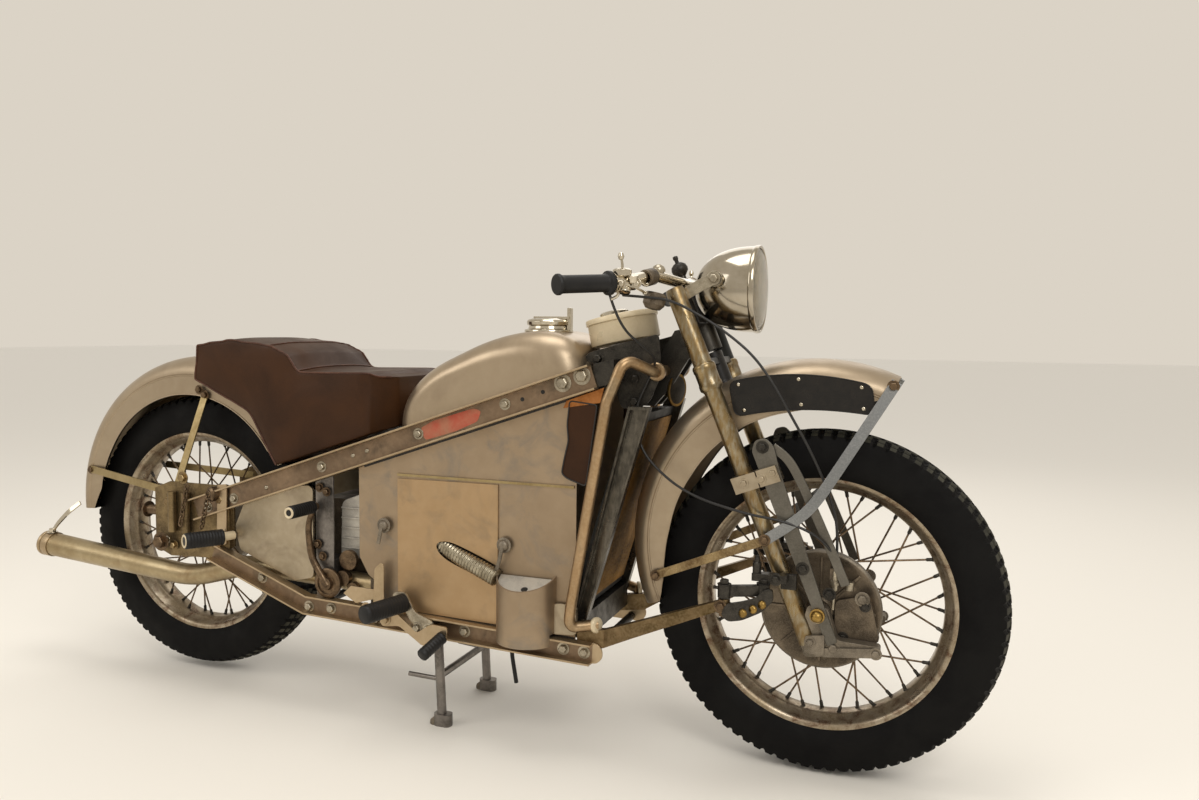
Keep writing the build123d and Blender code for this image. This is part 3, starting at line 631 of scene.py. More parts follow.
blend = addNode(
    worldTree, "ShaderNodeMixShader", None,
    {0: seenThrough.outputs[0], 1: ambient.outputs[0], 2: backdrop.outputs[0]})
addNode(worldTree, "ShaderNodeOutputWorld", None, {"Surface": blend.outputs[0]})

for index, (place, size, power, target) in enumerate(studio["lamps"]):
    lampData = bpy.data.lights.new("softbox" + str(index), "AREA")
    lampData.size = size
    lampData.energy = power
    lamp = bpy.data.objects.new("softbox" + str(index), lampData)
    lamp.location = place
    lamp.rotation_euler = (Vector(target) - Vector(place)).to_track_quat("-Z", "Y").to_euler()
    bpy.context.scene.collection.objects.link(lamp)

floorMaterial = bpy.data.materials.new("paleFloor")
floorMaterial.use_nodes = True
floorShader = floorMaterial.node_tree.nodes["Principled BSDF"]
floorShader.inputs["Base Color"].default_value = toLinear(studio["floor"])
floorShader.inputs["Roughness"].default_value = 0.75
floorMesh = bpy.data.meshes.new("floor")
floorMesh.from_pydata([(-30, -30, 0), (30, -30, 0), (30, 30, 0), (-30, 30, 0)], [], [(0, 1, 2, 3)])
floorMesh.materials.append(floorMaterial)
floor = bpy.data.objects.new("floor", floorMesh)
bpy.context.scene.collection.objects.link(floor)
print("camera and light set")


# Wheels
tyreLook = {
    "radius": 334.0,
    "halfWidth": 51.5,
    "blocks": 84,  # round the tyre, 25 mm apart
    "grooveDepth": 5.5,
    "treadHalf": 43.0,
    "crownFall": 0.0062,  # drop of the crown, per square millimetre from the middle
    "ribEdges": (10.0, 26.0),  # lengthwise grooves either side of the middle
    "grooveWidth": 4.6,
    "grooveLip": 0.9,  # how far outside that width a groove starts to fall
    "grooveSlope": 1.2,  # width of its slanting wall
    "beadRadius": 240.0,
    "tuckIn": 13.5,  # of the wall, at the rim
    "barShare": 0.17,  # half of a cross groove, of one block's length
    "barSlope": 0.06,  # width of its slanting wall, of one block's length
    "barSlant": 0.012,  # of a block's length, per mm across
    "wallLines": (262.0, 270.0, 306.0),
    "wallLineHeight": 0.9,
    "wallLineWidth": 2.2,
}


def tyreShape(centre):
    # outer section as an oval, turned round the axle; grooves lower the radius by a smooth step
    look = tyreLook
    crown = np.linspace(-look["treadHalf"], look["treadHalf"], 49)
    crownRadius = look["radius"] - look["crownFall"] * crown ** 2
    wall = np.linspace(0, 1, 14)[1:]  # 13 rows down each wall
    wallRadius = crownRadius[-1] - wall * (crownRadius[-1] - look["beadRadius"])
    # the wall swings out to its full width and some way back, then tucks in at the rim
    wallY = look["treadHalf"] + (look["halfWidth"] - look["treadHalf"]) * np.sin(wall * pi * 0.62)
    wallY -= look["tuckIn"] * wall ** 5
    radius = np.concatenate([wallRadius[::-1], crownRadius, wallRadius])
    across = np.concatenate([-wallY[::-1], crown, wallY])
    ribs = np.concatenate([np.zeros(len(wall)), np.ones(len(crown)), np.zeros(len(wall))])
    perBlock = 8
    turn = np.arange(look["blocks"] * perBlock) / perBlock
    # outer blocks are set half a block on; the cuts between the middle ones slant
    blocks = turn[:, None] + 0.5 * (np.abs(across)[None, :] > look["ribEdges"][0])
    blocks = blocks + look["barSlant"] * across[None, :] * (np.abs(across)[None, :] < look["ribEdges"][0])
    toBar = np.abs(blocks - np.round(blocks))
    bars = np.clip((look["barShare"] - toBar) / look["barSlope"], 0, 1)
    grooves = np.zeros(len(across))
    for edge in look["ribEdges"]:
        beside = look["grooveWidth"] / 2 + look["grooveLip"] - np.abs(np.abs(across) - edge)
        grooves = np.maximum(grooves, np.clip(beside / look["grooveSlope"], 0, 1))
    depth = np.maximum(bars, grooves[None, :]) * ribs[None, :] * look["grooveDepth"]
    r = radius[None, :] - depth
    # three raised lines on each side wall
    for ring in look["wallLines"]:
        lift = look["wallLineHeight"] * np.exp(-((radius - ring) / look["wallLineWidth"]) ** 2)
        across = across + np.sign(across) * lift * (1 - ribs)
    angle = turn * 2 * pi / look["blocks"]
    x = centre[0] + r * np.cos(angle)[:, None]
    z = centre[2] + r * np.sin(angle)[:, None]
    y = np.broadcast_to(across[None, :], x.shape)
    return gridShape(np.stack([x, y, z], -1), closeRows=True, closeCols=True)


def dustAndLightTread(piece, centre):
    # the tops of the blocks take the dusty rubber with its painted highlight, the grooves and walls stay
    # black
    piece.data.materials.append(surfaces["treadDustAndHighlight"])
    middles = readTable(piece.data.polygons, "center", 3) / mm - centre
    crown = tyreLook["radius"] - tyreLook["crownFall"] * middles[:, 1] ** 2
    onTread = np.abs(middles[:, 1]) < tyreLook["treadHalf"] - 1
    onTop = onTread & (np.hypot(middles[:, 0], middles[:, 2]) > crown - 1.2)
    piece.data.polygons.foreach_set("material_index", onTop.astype(np.int32))


# Rim: half of its rolled section, as (radius, distance from the middle)
rimHalf = [
    (219.0, 0.0), (219.0, 13.0), (221.5, 18.0), (229.0, 23.0), (230.5, 33.0), (235.0, 37.0),
    (239.5, 40.3), (243.5, 40.0), (245.0, 37.5), (242.5, 36.0), (237.5, 35.2), (235.0, 22.0),
    (227.0, 17.0), (224.0, 12.0), (224.0, 0.0)]
rimProfile = rimHalf + [(r, -y) for r, y in rimHalf[-2:0:-1]]

spokeLook = {"count": 40, "radius": 1.9, "nippleRadius": 3.4, "wellRadius": 219.5, "aside": 3.0,
             "drumRadius": {"front": 107.2, "rear": 98.2}, "flangeRadius": 50.2}


def spokeEnds(centre, drumSide, drumRadius):
    # hub end and rim end of each crossed spoke, in two tables of points
    hubs = []
    rims = []
    quarter = spokeLook["count"] // 4
    gap = 360.0 / spokeLook["count"]
    aside = spokeLook["aside"]
    # hub radius, hub Y, rim Y, sweep in degrees, start in degrees
    sides = [
        (drumRadius, -28.0 * drumSide, -7.0 * drumSide, 28.0, 0.0),
        (spokeLook["flangeRadius"], 33.0 * drumSide, 7.0 * drumSide, 52.0, gap),
    ]
    for hubRadius, hubY, rimY, sweep, start in sides:
        for way in (-1, 1):
            atRim = np.radians(np.arange(quarter) * 360.0 / quarter + way * gap + start)
            atHub = atRim - way * radians(sweep)
            for table, radius, angle, y in (
                (hubs, hubRadius, atHub, hubY + way * aside),
                (rims, spokeLook["wellRadius"], atRim, rimY + way * aside),
            ):
                table.append(np.stack([
                    centre[0] + radius * np.cos(angle), np.full(quarter, y),
                    centre[2] + radius * np.sin(angle)], 1))
    return np.vstack(hubs), np.vstack(rims)


def buildWheel(which, centre, drumSide):
    # tyre, rim, crossed spokes with their nipples, and hub
    body = which + "_wheel"
    cover = makePiece(which + "TyreCover", [tyreShape(centre)], "tyre", body, "tyre_rubber", sharp=30,
                      replaces=(which + "_tyre",))
    dustAndLightTread(cover, centre)
    makePiece(which + "RimRolled", [latheShape(rimProfile, centre, outward, 180, closed=True)],
              "rimPlate", body, "worn_nickel", sharp=50, replaces=(which + "_rim",))
    hubs, rims = spokeEnds(centre, drumSide, spokeLook["drumRadius"][which])
    wires = [tubeShape([hub, rim], spokeLook["radius"], 8) for hub, rim in zip(hubs, rims)]
    makePiece(which + "SpokeWires", wires, "brownSteel", body, "worn_nickel",
              replaces=(which + "_spokes",))
    nipples = []
    for hub, rim in zip(hubs, rims):
        r = spokeLook["nippleRadius"]
        nipples.append(latheShape(
            [(0, -2), (r * 1.25, -2), (r * 1.25, 1.5), (r, 2.5), (r, 11), (r * 0.7, 13.5), (0, 13.5)],
            rim, unit(hub - rim), 8))
    makePiece(which + "SpokeNipples", nipples, "darkSteelAndShade", body, "worn_nickel")
    finishedCopy(which + "_hub", "castAluminium", 1.2)


buildWheel("front", bike["frontAxle"], 1)
buildWheel("rear", bike["rearAxle"], -1)
print("wheels built")


# Mudguards
guards = {
    "front": {"centre": bike["frontGuard"], "radius": 362.0, "half": 76.0, "body": "steering",
              "node": "front_mudguard", "arc": (66.0, 203.0),
              "depthAt": (66, 72, 80, 100, 125, 150, 175, 187, 195, 200, 203),
              "depth": (36, 62, 86, 94, 94, 94, 86, 76, 66, 54, 44)},
    "rear": {"centre": bike["rearGuard"], "radius": 368.0, "half": 76.0, "body": "frame",
             "node": "rear_mudguard", "arc": (25.0, 184.0),
             "depthAt": (25, 34, 60, 150, 174, 184), "depth": (80, 90, 90, 90, 84, 60)},
}
guardSheet = 2.2
crownDrop = 42.0  # from the crown down to the bead line
valanceInset = 0.9  # the valance lies this much inside the full width


def guardShape(look):
    # half-oval crown, a raised bead line and a side valance; the valance's depth changes along the arc
    steps = 140
    angle = np.linspace(*look["arc"], steps)
    depth = np.interp(angle, look["depthAt"], look["depth"])
    swing = np.linspace(0, pi / 2, 16)
    crownY = look["half"] * np.sin(swing) ** 0.86  # an exponent below one gives square shoulders
    crownR = -crownDrop + crownDrop * np.cos(swing)
    crownR = np.where(swing < 1e-6, 0.0, crownR)
    share = np.linspace(0, 1, 9)[1:]
    beadRows = [(-crownDrop - drop, lift)
                for drop, lift in ((1.0, 0.0), (2.2, 1.7), (4.2, 1.7), (5.4, 0.0))]
    innerStart = -crownDrop - 6.0
    radial = []
    across = []
    for r, y in zip(crownR, crownY):
        radial.append(np.full(steps, r))
        across.append(np.full(steps, y))
    for r, lift in beadRows:
        radial.append(np.maximum(r, 1.0 - depth))
        across.append(np.full(steps, look["half"] + lift * 0.7 - valanceInset))
    for part in share:
        r = innerStart + part * (-depth - innerStart)
        radial.append(np.where(depth > crownDrop + 6, r, -depth))
        across.append(np.full(steps, look["half"] - valanceInset))
    radial = np.array(radial)
    across = np.array(across)
    # rolled edge: a small hook outwards and back
    radial = np.vstack([radial, -depth[None] - 1.5, -depth[None] + 0.5])
    across = np.vstack([across, np.full((1, steps), look["half"] + 1.2),
                        np.full((1, steps), look["half"] + 0.8)])
    # the half section is mirrored and closed by the sheet's inner face
    outer = np.stack([radial, across], -1)
    inner = np.stack([np.minimum(outer[..., 0], -guardSheet * 0.2) - guardSheet * 0.8, outer[..., 1]], -1)
    inner[..., 1] = np.clip(inner[..., 1], 0, look["half"] - valanceInset - guardSheet)
    inner[-2:, :, 0] = outer[-2:, :, 0] + 1.0
    ring = np.concatenate([outer[::-1], (outer * [1, -1])[1:], (inner * [1, -1])[::-1], inner[1:]])
    r = look["radius"] + ring[..., 0]
    a = np.radians(angle)[None, :]
    points = np.stack([
        look["centre"][0] + r * np.cos(a), ring[..., 1], look["centre"][2] + r * np.sin(a)], -1)
    return sweptShape(points.transpose(1, 0, 2))


for which, look in guards.items():
    makePiece(which + "GuardSheet", [guardShape(look)], "guardAluminium", look["body"],
              "sheet_aluminium", sharp=40, replaces=(look["node"],))
print("mudguards built")


# Headlamp: a deep bowl with a rolled rim, its glass and its bracket
lampLook = {"z": 934.0, "back": 526.0, "rimX": 645.0, "radius": 83.5}
lampCentre = (0, 0, lampLook["z"])


def lampBowl():
    # bowl: radius grows as a rounded power curve, then a thin rolled rim and the reflector inside
    along = np.linspace(0, 1, 22)
    x = lampLook["back"] + along * (lampLook["rimX"] - lampLook["back"])
    r = lampLook["radius"] * (1 - (1 - along) ** 2.4) ** 0.5
    rim = [(84.5, 646), (85.6, 648), (85.6, 653), (84.2, 655.5), (81.0, 656), (79.4, 654.5), (79.0, 651),
           (70, 636), (54, 622), (32, 612), (0, 607)]
    return latheShape(list(zip(r, x)) + rim, lampCentre, (1, 0, 0), 96)


makePiece("lampShell", [lampBowl()], "lampNickel", "steering", "bright_steel", replaces=("headlamp",))
# Pressed lamp glass: clear, with soft upright flutes
glass = bpy.data.materials.new("flutedLampGlass")
surfaces["lampGlass"] = glass
glass.use_nodes = True
glassTree = glass.node_tree
glassShader = glassTree.nodes["Principled BSDF"]
glassShader.inputs["Base Color"].default_value = toLinear("#e6dfcd")
glassShader.inputs["Roughness"].default_value = 0.06
glassShader.inputs["IOR"].default_value = 1.3
glassShader.inputs["Transmission Weight"].default_value = 0.92
# moulded flutes, 6 mm apart, run up and down the pressed glass
glassPlace = addNode(glassTree, "ShaderNodeTexCoord")
flutes = addNode(
    glassTree, "ShaderNodeTexWave",
    {"wave_type": "BANDS", "bands_direction": "Y", "Scale": 52.0, "Distortion": 0.0, "Detail": 0.0},
    {"Vector": glassPlace.outputs["Object"]})
fluteBump = addNode(
    glassTree, "ShaderNodeBump", {"Strength": 0.5, "Distance": 0.8 * mm}, {"Height": flutes.outputs["Fac"]})
glassTree.links.new(fluteBump.outputs["Normal"], glassShader.inputs["Normal"])
bowGlass = [(0, 664), (30, 663.4), (55, 661), (70, 657.5), (78.4, 653.6), (78.0, 651.6), (55, 656.5),
            (0, 660)]
makePiece("lampGlassFront", [latheShape(bowGlass, lampCentre, (1, 0, 0), 72)], "lampGlass", "steering",
          "lamp_glass", replaces=("headlamp_glass",))
bracket = [(516, -88, 914), (540, -88.5, 929), (564, -87, 942), (586, -84.5, 953)]
bracketShapes = [
    strapShape(bentLine(bracket, 10), 23, 4, facing),
    rodShape(15, 9, (582, -72, 951), outward, 28),
    boltShape((582, -87, 951), outward, 15, 6),
    boltShape((522, -90, 918), outward, 13, 6),
]
makePair("lampBrackets", bracketShapes, "zincPlate", "steering", "bright_steel", bevel=0.6,
         replaces=("lamp_brackets",))


# Fuel tank: the side outline, carried across and drawn in towards both sides by a quarter circle
tankLook = {
    "outline": [(-95, 600), (-92, 690), (-32, 763), (125, 835), (240, 854), (318, 826), (338, 742)],
    "half": 131.0,
    "edge": 54.0,
    "bend": 60.0,
    "swell": 4.0,
    "middle": (120.0, 700.0),
}


def tankShape(look):
    # inset grows as edge * (1 - cos t) while the half width grows as edge * sin t
    outline = roundedOutline(look["outline"], look["bend"], 9)
    middle = np.array(look["middle"])
    edge = look["edge"]
    reach = np.abs(outline - middle).max(0)
    swing = np.linspace(0, pi / 2, 14)
    across = look["half"] - edge + edge * np.sin(swing)
    inset = edge * (1 - np.cos(swing))
    # the side face goes on to its middle with a slight swell
    fill = np.linspace(0, 1, 8)[1:]
    across = np.concatenate([across, look["half"] + look["swell"] * np.sin(fill * pi / 2) * 0.5 - 0.5])
    shrink = np.concatenate([inset[:, None] / reach[None, :],
                             1 - (1 - fill[:, None]) * (1 - edge / reach[None, :])])
    sideRows = []
    for y, factor in zip(across, shrink):
        ring = middle + (outline - middle) * (1 - factor)
        sideRows.append(np.stack([ring[:, 0], np.full(len(ring), y), ring[:, 1]], -1))
    near = np.array(sideRows)
    grid = np.concatenate([(near * [1, -1, 1])[::-1], near])
    return gridShape(grid, closeCols=True)


makePiece("tankShell", [tankShape(tankLook)], "tankAluminium", "frame", "tank_aluminium", sharp=60,
          replaces=("fuel_tank",))
capRows = [(0, 0), (50, 0), (52, 3), (51, 7), (44, 9), (42, 15), (46, 17), (47, 24), (44, 28), (33, 31),
           (0, 33)]
fillerShapes = [
    latheShape(capRows, (208, 0, 844), vertical, 48),
    boxShape((176, -9, 873), (258, 9, 879)),
    boxShape((252, -7, 847), (260, 7, 897)),
]
makePiece("fillerCap", fillerShapes, "brightPlate", "frame", "bright_steel", bevel=0.8,
          replaces=("fuel_cap",))
drumAxis = (-sin(radians(12)), 0, cos(radians(12)))
drumFoot = np.array([381, 0, 827])
drumRows = [(0, 0), (68, 0), (71, 1.5), (72, 4), (72, 44), (75, 45.5), (75, 54), (73.5, 56), (60, 57.5),
            (0, 58)]
makePiece("headerDrum", [latheShape(drumRows, drumFoot, drumAxis, 72)], "cream", "frame",
          "cream_enamel", replaces=("header_tank",))
drumTop = drumFoot + 57 * np.array(drumAxis) + [-14, 0, -3]
makePiece("headerCap", [latheShape([(0, 0), (30, 0), (30, 8), (26, 11), (0, 12)], drumTop, drumAxis, 40)],
          "brightPlate", "frame", "bright_steel")
print("lamp and tanks built")


# Frame: pale lips of the rails (partly painted highlight) and their browned webs, bolts, rivets, and holes
# drawn as dark discs of painted shade
railLines = {
    "upper": {"line": [(-610, 430), (365, 762)], "depth": 50.0},
    "lower": {"line": [(-560, 338), (-300, 243), (368, 218)], "depth": 42.0},
}
lipWall = 4.0


def besideLine(line, distance):
    # the same line moved up square to its runs, with its corners mitred
    line = np.array(line, float)
    runs = np.diff(line, axis=0)
    square = np.stack([-runs[:, 1], runs[:, 0]], 1) / np.linalg.norm(runs, axis=1)[:, None]
    at = np.vstack([square[:1], (square[:-1] + square[1:]) / 2, square[-1:]])
    return line + at * distance / (at ** 2).sum(1)[:, None]


def railBand(line, low, high, inner, outer):
    # a strip along a line, between two distances beside it and two distances out
    outline = np.vstack([besideLine(line, high), besideLine(line, low)[::-1]])
    return prismShape(outline, -outer, -inner)


webY = bike["webY"]
panelY = bike["panelY"]
webShapes = []
for rail in railLines.values():
    half = rail["depth"] / 2 - lipWall - 0.2
    webShapes.append(railBand(rail["line"], -half, half, webY, webY + 0.4))
makePair("railWebs", webShapes, "railWeb", "frame", "sheet_aluminium")
# the panels' bead shows as a yellow line in the bars' tinted finish, and dark strips under and over the
# rails are painted shadow in the gaps there
beadShapes = [boxShape((-73, -panelY - 3.8, 541.5), (326, -panelY - 3, 546.5))]
makePair("beadLines", beadShapes, "reflectionYellowBar", "frame", "sheet_aluminium")
gapShadowRows = [([(-165, 581.5), (328, 749.4)], -29.5, -25.2), ([(-110, 235.9), (328, 219.5)], 21.2, 24.5)]
gapShadowShapes = [railBand(line, low, high, webY - 4.5, webY - 3.4) for line, low, high in gapShadowRows]
makePair("railGapShadows", gapShadowShapes, "black", "frame", "dark_steel")


def boltsAt(rows, y, across=14.0, height=6.0):
    # hexagon bolts at (x, z) places on an upright face of the right side
    return [boltShape((x, -y, z), outward, across, height) for x, z in rows]


upperBolts = [(-500, 462), (-574, 437), (-262, 549), (-21, 633), (177, 702)]
headBolts = [(301, 748), (341, 763)]
lowerBolts = [(307, 220), (351, 218), (-299, 236), (-241, 238), (-424, 288), (87, 228), (-124, 229)]
boltShapes = boltsAt(upperBolts, webY) + boltsAt(headBolts, webY, 21, 9) + boltsAt(lowerBolts, webY, 15, 7)
makePair("railBolts", boltShapes, "zincPlate", "frame", "bright_steel", bevel=0.5)
rivets = [(-182, 578), (-147, 590), (-410, 493)]
rivetShapes = [rivetShape((x, -webY, z), outward, 5.5) for x, z in rivets]
makePair("railRivets", rivetShapes, "zincPlate", "frame", "cast_aluminium")
# holes are thin dark discs on the face: painted shade, not cut openings
holes = [rodShape(4.2, 0.6, (x, -webY - 0.4, z), outward, 18) for x, z in [(215, 713), (259, 729)]]
# the scuttles have a floor that slopes with their rim, and a drain hole in it, drawn as a dark disc of
# painted shade
floorLook = {"x": 226.0, "y": -147.0, "half": 56.5, "reach": 56.0, "z": 329.0, "slope": 0.4,
             "slopeFrom": -210.0, "holeX": 238.0, "holeY": -184.0, "holeRadius": 7.0}
sweep = np.linspace(0, pi, 33)
floorOutline = np.stack([floorLook["x"] + floorLook["half"] * np.cos(sweep),
                         floorLook["y"] - floorLook["reach"] * np.sin(sweep)], 1)
floorVerts, floorFaces = prismShape(floorOutline, floorLook["z"], floorLook["z"] + 2, "xy")
floorVerts[:, 2] += floorLook["slope"] * (floorVerts[:, 1] - floorLook["slopeFrom"])
makePair("scuttleFloors", [(floorVerts, floorFaces)], "paleCasting", "frame", "sheet_aluminium")
holeZ = floorLook["z"] + 2 + floorLook["slope"] * (floorLook["holeY"] - floorLook["slopeFrom"])
holes.append(rodShape(floorLook["holeRadius"], 0.6, (floorLook["holeX"], floorLook["holeY"], holeZ),
                      unit((0, -floorLook["slope"], 1)), 18))
makePair("holeShadeDiscs", holes, "core", "frame", "black_plate")


def onUpperRail(x, up):
    # point on the upper rail's middle line, moved up square to it
    (lowX, lowZ), (highX, highZ) = railLines["upper"]["line"]
    slope = (highZ - lowZ) / (highX - lowX)
    size = (1 + slope ** 2) ** 0.5
    return (x - up * slope / size, lowZ + (x - lowX) * slope + up / size)


patchRows = [(-10, -15), (60, -17), (112, -12), (126, 6), (112, 16), (20, 18), (-12, 12)]
patchOutline = roundedOutline([onUpperRail(x, up) for x, up in patchRows], 7)
makePiece("redPaintPatch", [prismShape(patchOutline, -webY - 0.8, -webY - 0.3)], "redPaint", "frame",
          "tank_aluminium")

# Head plates on both sides behind the crash bar, with three bolts each
headPlate = [(316, 792), (330, 806), (384, 822), (440, 836), (474, 846), (480, 800), (476, 754), (458, 712),
             (434, 697), (400, 697), (391, 720), (390, 768), (356, 782)]
headShapes = [prismShape(roundedOutline(headPlate, 10), -83, -79)]
makePair("headSidePlates", headShapes, "darkSteelAndShade", "frame", "dark_steel", bevel=0.8)
plateNuts = boltsAt([(429, 756), (427, 712), (350, 795)], 83, 15, 7)
makePair("headPlateBolts", plateNuts, "darkSteelAndShade", "frame", "dark_steel", bevel=0.5)

# Catches of the engine doors: a domed boss and a bent tongue
catchRows = [(0, 0), (16, 0), (16, 1.5), (12, 2.5), (11, 6), (9, 9), (5, 11), (0, 11.6)]
catchShapes = []
for x, z, drop, lean in [(-104, 434, 38, -8), (177, 417, 52, -12)]:
    catchShapes.append(latheShape(catchRows, (x, -150, z), outward, 28))
    tongue = [(x, -160, z - 2), (x + lean * 0.2, -163, z - drop * 0.45), (x + lean, -160, z - drop)]
    catchShapes.append(strapShape(bentLine(tongue, 10), 8, 3, facing))
makePair("doorCatches", catchShapes, "castAluminium", "frame", "dark_steel", bevel=0.6)

# Warm-air hose: wound metal strip, ridges 7.5 mm apart
hoseCurve = bentLine([(0, -113, 410), (60, -142, 388), (165, -158, 350)], 40, 30)
hoseLine, hoseAlong = evenLine(hoseCurve, 190)
hoseRadius = 16.9 + 1.2 * np.cos(2 * pi * hoseAlong / 7.5)
makePair("warmAirHoses", [tubeShape(hoseLine, hoseRadius, 28)], "hoseSteel", "frame", "worn_nickel",
         sharp=70, replaces=("air_hoses",))

# Small things on the side panel: cover plate with a lip, and a folded tab
coverPlate = [(262, 246), (336, 250), (338, 309), (292, 312), (270, 298)]
coverShapes = [prismShape(roundedOutline(coverPlate, 11), -152, -146.8),
               boxShape((334, -160, 262), (337.5, -148, 304))]
makePair("smallCovers", coverShapes, "coverAluminium", "frame", "sheet_aluminium", bevel=1.2)
flapOutline = [(-183, 288), (-168, 304), (-122, 297), (-122, 276), (-158, 267)]
flapVerts, flapFaces = prismShape(flapOutline, -163, -160)
flapVerts[:, 1] += (flapVerts[:, 0] + 122) * 0.35  # bent inwards towards its tip
tabOutline = [(-124, 264), (-97, 260), (-97, 352), (-104, 357), (-120, 342)]
tabShapes = [
    prismShape(roundedOutline(tabOutline, 4), -163, -160),
    (flapVerts, flapFaces),
    boltShape((-138, -167, 258), outward, 13, 6),
]
makePiece("foldedTab", tabShapes, "railAluminium", "frame", "bright_steel", bevel=0.5)

# Aprons of leathercloth with bound edges that have pulled out of line, under a copper strip
apronOutline = roundedOutline(
    [(301, 571), (312, 562), (352, 549), (374, 708), (317, 714), (312, 668), (315, 636), (307, 602)], 7)
apronEdge = np.array([(x, -150.2, z) for x, z in np.vstack([apronOutline, apronOutline[:1]])])
makePair("apronSheets", [prismShape(apronOutline, -149.6, -147.0)], "leathercloth", "frame", "leathercloth",
         bevel=0.6, replaces=("aprons",))
makePair("apronBinding", [tubeShape(apronEdge, 1.6, 8)], "black", "frame", "leathercloth")
copperOutline = [(303, 699), (380, 712), (388, 742), (368, 735), (310, 714)]
makePair("copperStrips", [prismShape(copperOutline, -150.5, -147.5)], "copper", "frame", "brass", bevel=0.8)
print("frame fittings built")


# Crash bar's collars and end caps, and the radiator's tubes
collarRows = [(11.1, 0), (16, 0), (18, 2), (18, 11), (16, 13), (11.1, 13)]
collars = [latheShape(collarRows, (474, -84, 772), outward, 32, closed=True)]
makePair("barCollars", collars, "barNickel", "frame", "worn_nickel")
# a dark sheet behind the lower arms' roots: painted shade that fills a gap where the background would show
# through
makePiece("lowerShadeFill", [boxShape((312, -126, 238), (350, 126, 290))], "darkSteelAndShade", "frame", "dark_steel")
capRound = [(0, 0), (14.5, 0), (15.5, 2), (15.5, 6), (13, 8.5), (0, 9)]
makePair("barEndCaps", [latheShape(capRound, (370, -139, 273), unit((0.88, -0.4, 0.12)), 32)], "cream",
         "frame", "cream_enamel", sharp=50)
# tubes: the front face stands out by 2.2 |sin| mm, once for each of the 24 tubes
coreLow = np.array([344.0, 312.0])
coreHigh = np.array([449.0, 672.0])
coreHalf = 108.0
coreTubes = 24
coreRun = coreHigh - coreLow
coreFace = unit(np.array([coreRun[1], -coreRun[0]]))
finRows = np.linspace(0, 1, 5)
finCols = np.linspace(-coreHalf, coreHalf, coreTubes * 6 + 1)
ripple = 2.2 * np.abs(np.sin(pi * (finCols + coreHalf) / (2 * coreHalf) * coreTubes))
finPoints = np.zeros((len(finRows), len(finCols), 3))
finPoints[..., 0] = coreLow[0] + finRows[:, None] * coreRun[0] + coreFace[0] * (1.2 + ripple[None, :])
finPoints[..., 1] = finCols[None, :]
finPoints[..., 2] = coreLow[1] + finRows[:, None] * coreRun[1] + coreFace[1] * (1.2 + ripple[None, :])
makePiece("radiatorTubes", [gridShape(finPoints)], "coreBrass", "frame", "radiator_core", sharp=60)


# Fork: upper tube, ringed collar and slimmer lower tube, turned about the fork's own line
def forkLathe(rows, y):
    # rows are (radius, height on the steering axis)
    foot = onFork(0, y)
    lean = cos(bike["rake"])
    return latheShape([(r, z / lean) for r, z in rows], foot, steeringAxis, 40)


upperRows = [(0, 780), (18, 780), (18, 925), (16.5, 931), (0, 934)]
lowerRows = [(0, 279), (16, 279), (17, 281), (17, 738), (18.5, 741), (21.8, 744), (22.5, 747), (22.5, 753),
             (21.4, 755), (21.4, 776), (22.5, 778), (22.5, 785), (21, 788), (18.3, 790), (0, 790)]
# the far (left) upper tube takes the black finish as painted shade, since it stands in shadow; the right
# one keeps its plate
for side, y, upperLook in (("right", -bike["forkY"], "forkPlate"), ("left", bike["forkY"], "blackPaintAndShade")):
    makePiece(side + "ForkUpper", [forkLathe(upperRows, y)], upperLook, "steering", "worn_nickel",
              replaces=("fork_tubes",) if side == "right" else ())
    makePiece(side + "ForkLower", [forkLathe(lowerRows, y)], "forkPlate", "steering", "worn_nickel")

# Clamp of the struts: two square-cut blocks that stand square to the fork's line, with a gap between them
clampShapes = [
    prismShape([(629, 577), (674, 594), (685, 565), (641, 548)], -124, -86),
    prismShape([(676, 596), (712, 609), (724, 580), (687, 566)], -128, -86),
]
for place in ((655, -124, 571), (688, -128, 582), (708, -128, 594)):
    clampShapes.append(boltShape(place, outward, 11, 4))
makePair("forkClamps", clampShapes, "coverAluminium", "steering", "bright_steel", bevel=0.9)

# Yokes between the tubes, and the handlebar's two clamps
yokeShapes = []
for z, deep, thick in ((868, 40, 18), (790, 26, 14)):
    yokeShapes.append(strapShape([onFork(z, -90), onFork(z, 90)], deep, thick, steeringAxis))
# the column's sleeve reaches below the lower yoke, with a flange at its foot
yokeShapes.append(forkLathe([(0, 742), (23, 742), (23, 750), (21, 752), (21, 808), (0, 808)], 0))
for y in (-46, 46):
    yokeShapes.append(rodShape(13, 62, onFork(874, y), steeringAxis, 28))
makePiece("forkYokes", yokeShapes, "plateBlack", "steering", "cast_aluminium", bevel=1.5,
          replaces=("fork_yokes",))

# Struts: a straight filed plate down each leg, with a curved strap in front of it
strutOutline = [(667, 632), (673, 652), (692, 657), (708, 642), (718, 604), (763, 475), (811, 341),
                (832, 290), (814, 279), (796, 323), (767, 390), (730, 479)]
strutShapes = [prismShape(roundedOutline(strutOutline, 7), -119, -113)]
curvedStrap = [(704, -110, 640), (734, -109, 620), (758, -108, 578), (792, -106, 505), (825, -104, 432),
               (842, -102, 392)]
strutShapes.append(strapShape(bentLine(curvedStrap, 26), 17, 5, facing))
makePair("forkStruts", strutShapes, "strutAluminium", "steering", "cast_aluminium", bevel=0.8,
         replaces=("fork_struts",))
strutBolts = boltsAt([(687, 640), (766, 420), (815, 378)], 119)
makePair("strutBolts", strutBolts, "darkSteelAndShade", "steering", "dark_steel", bevel=0.5)

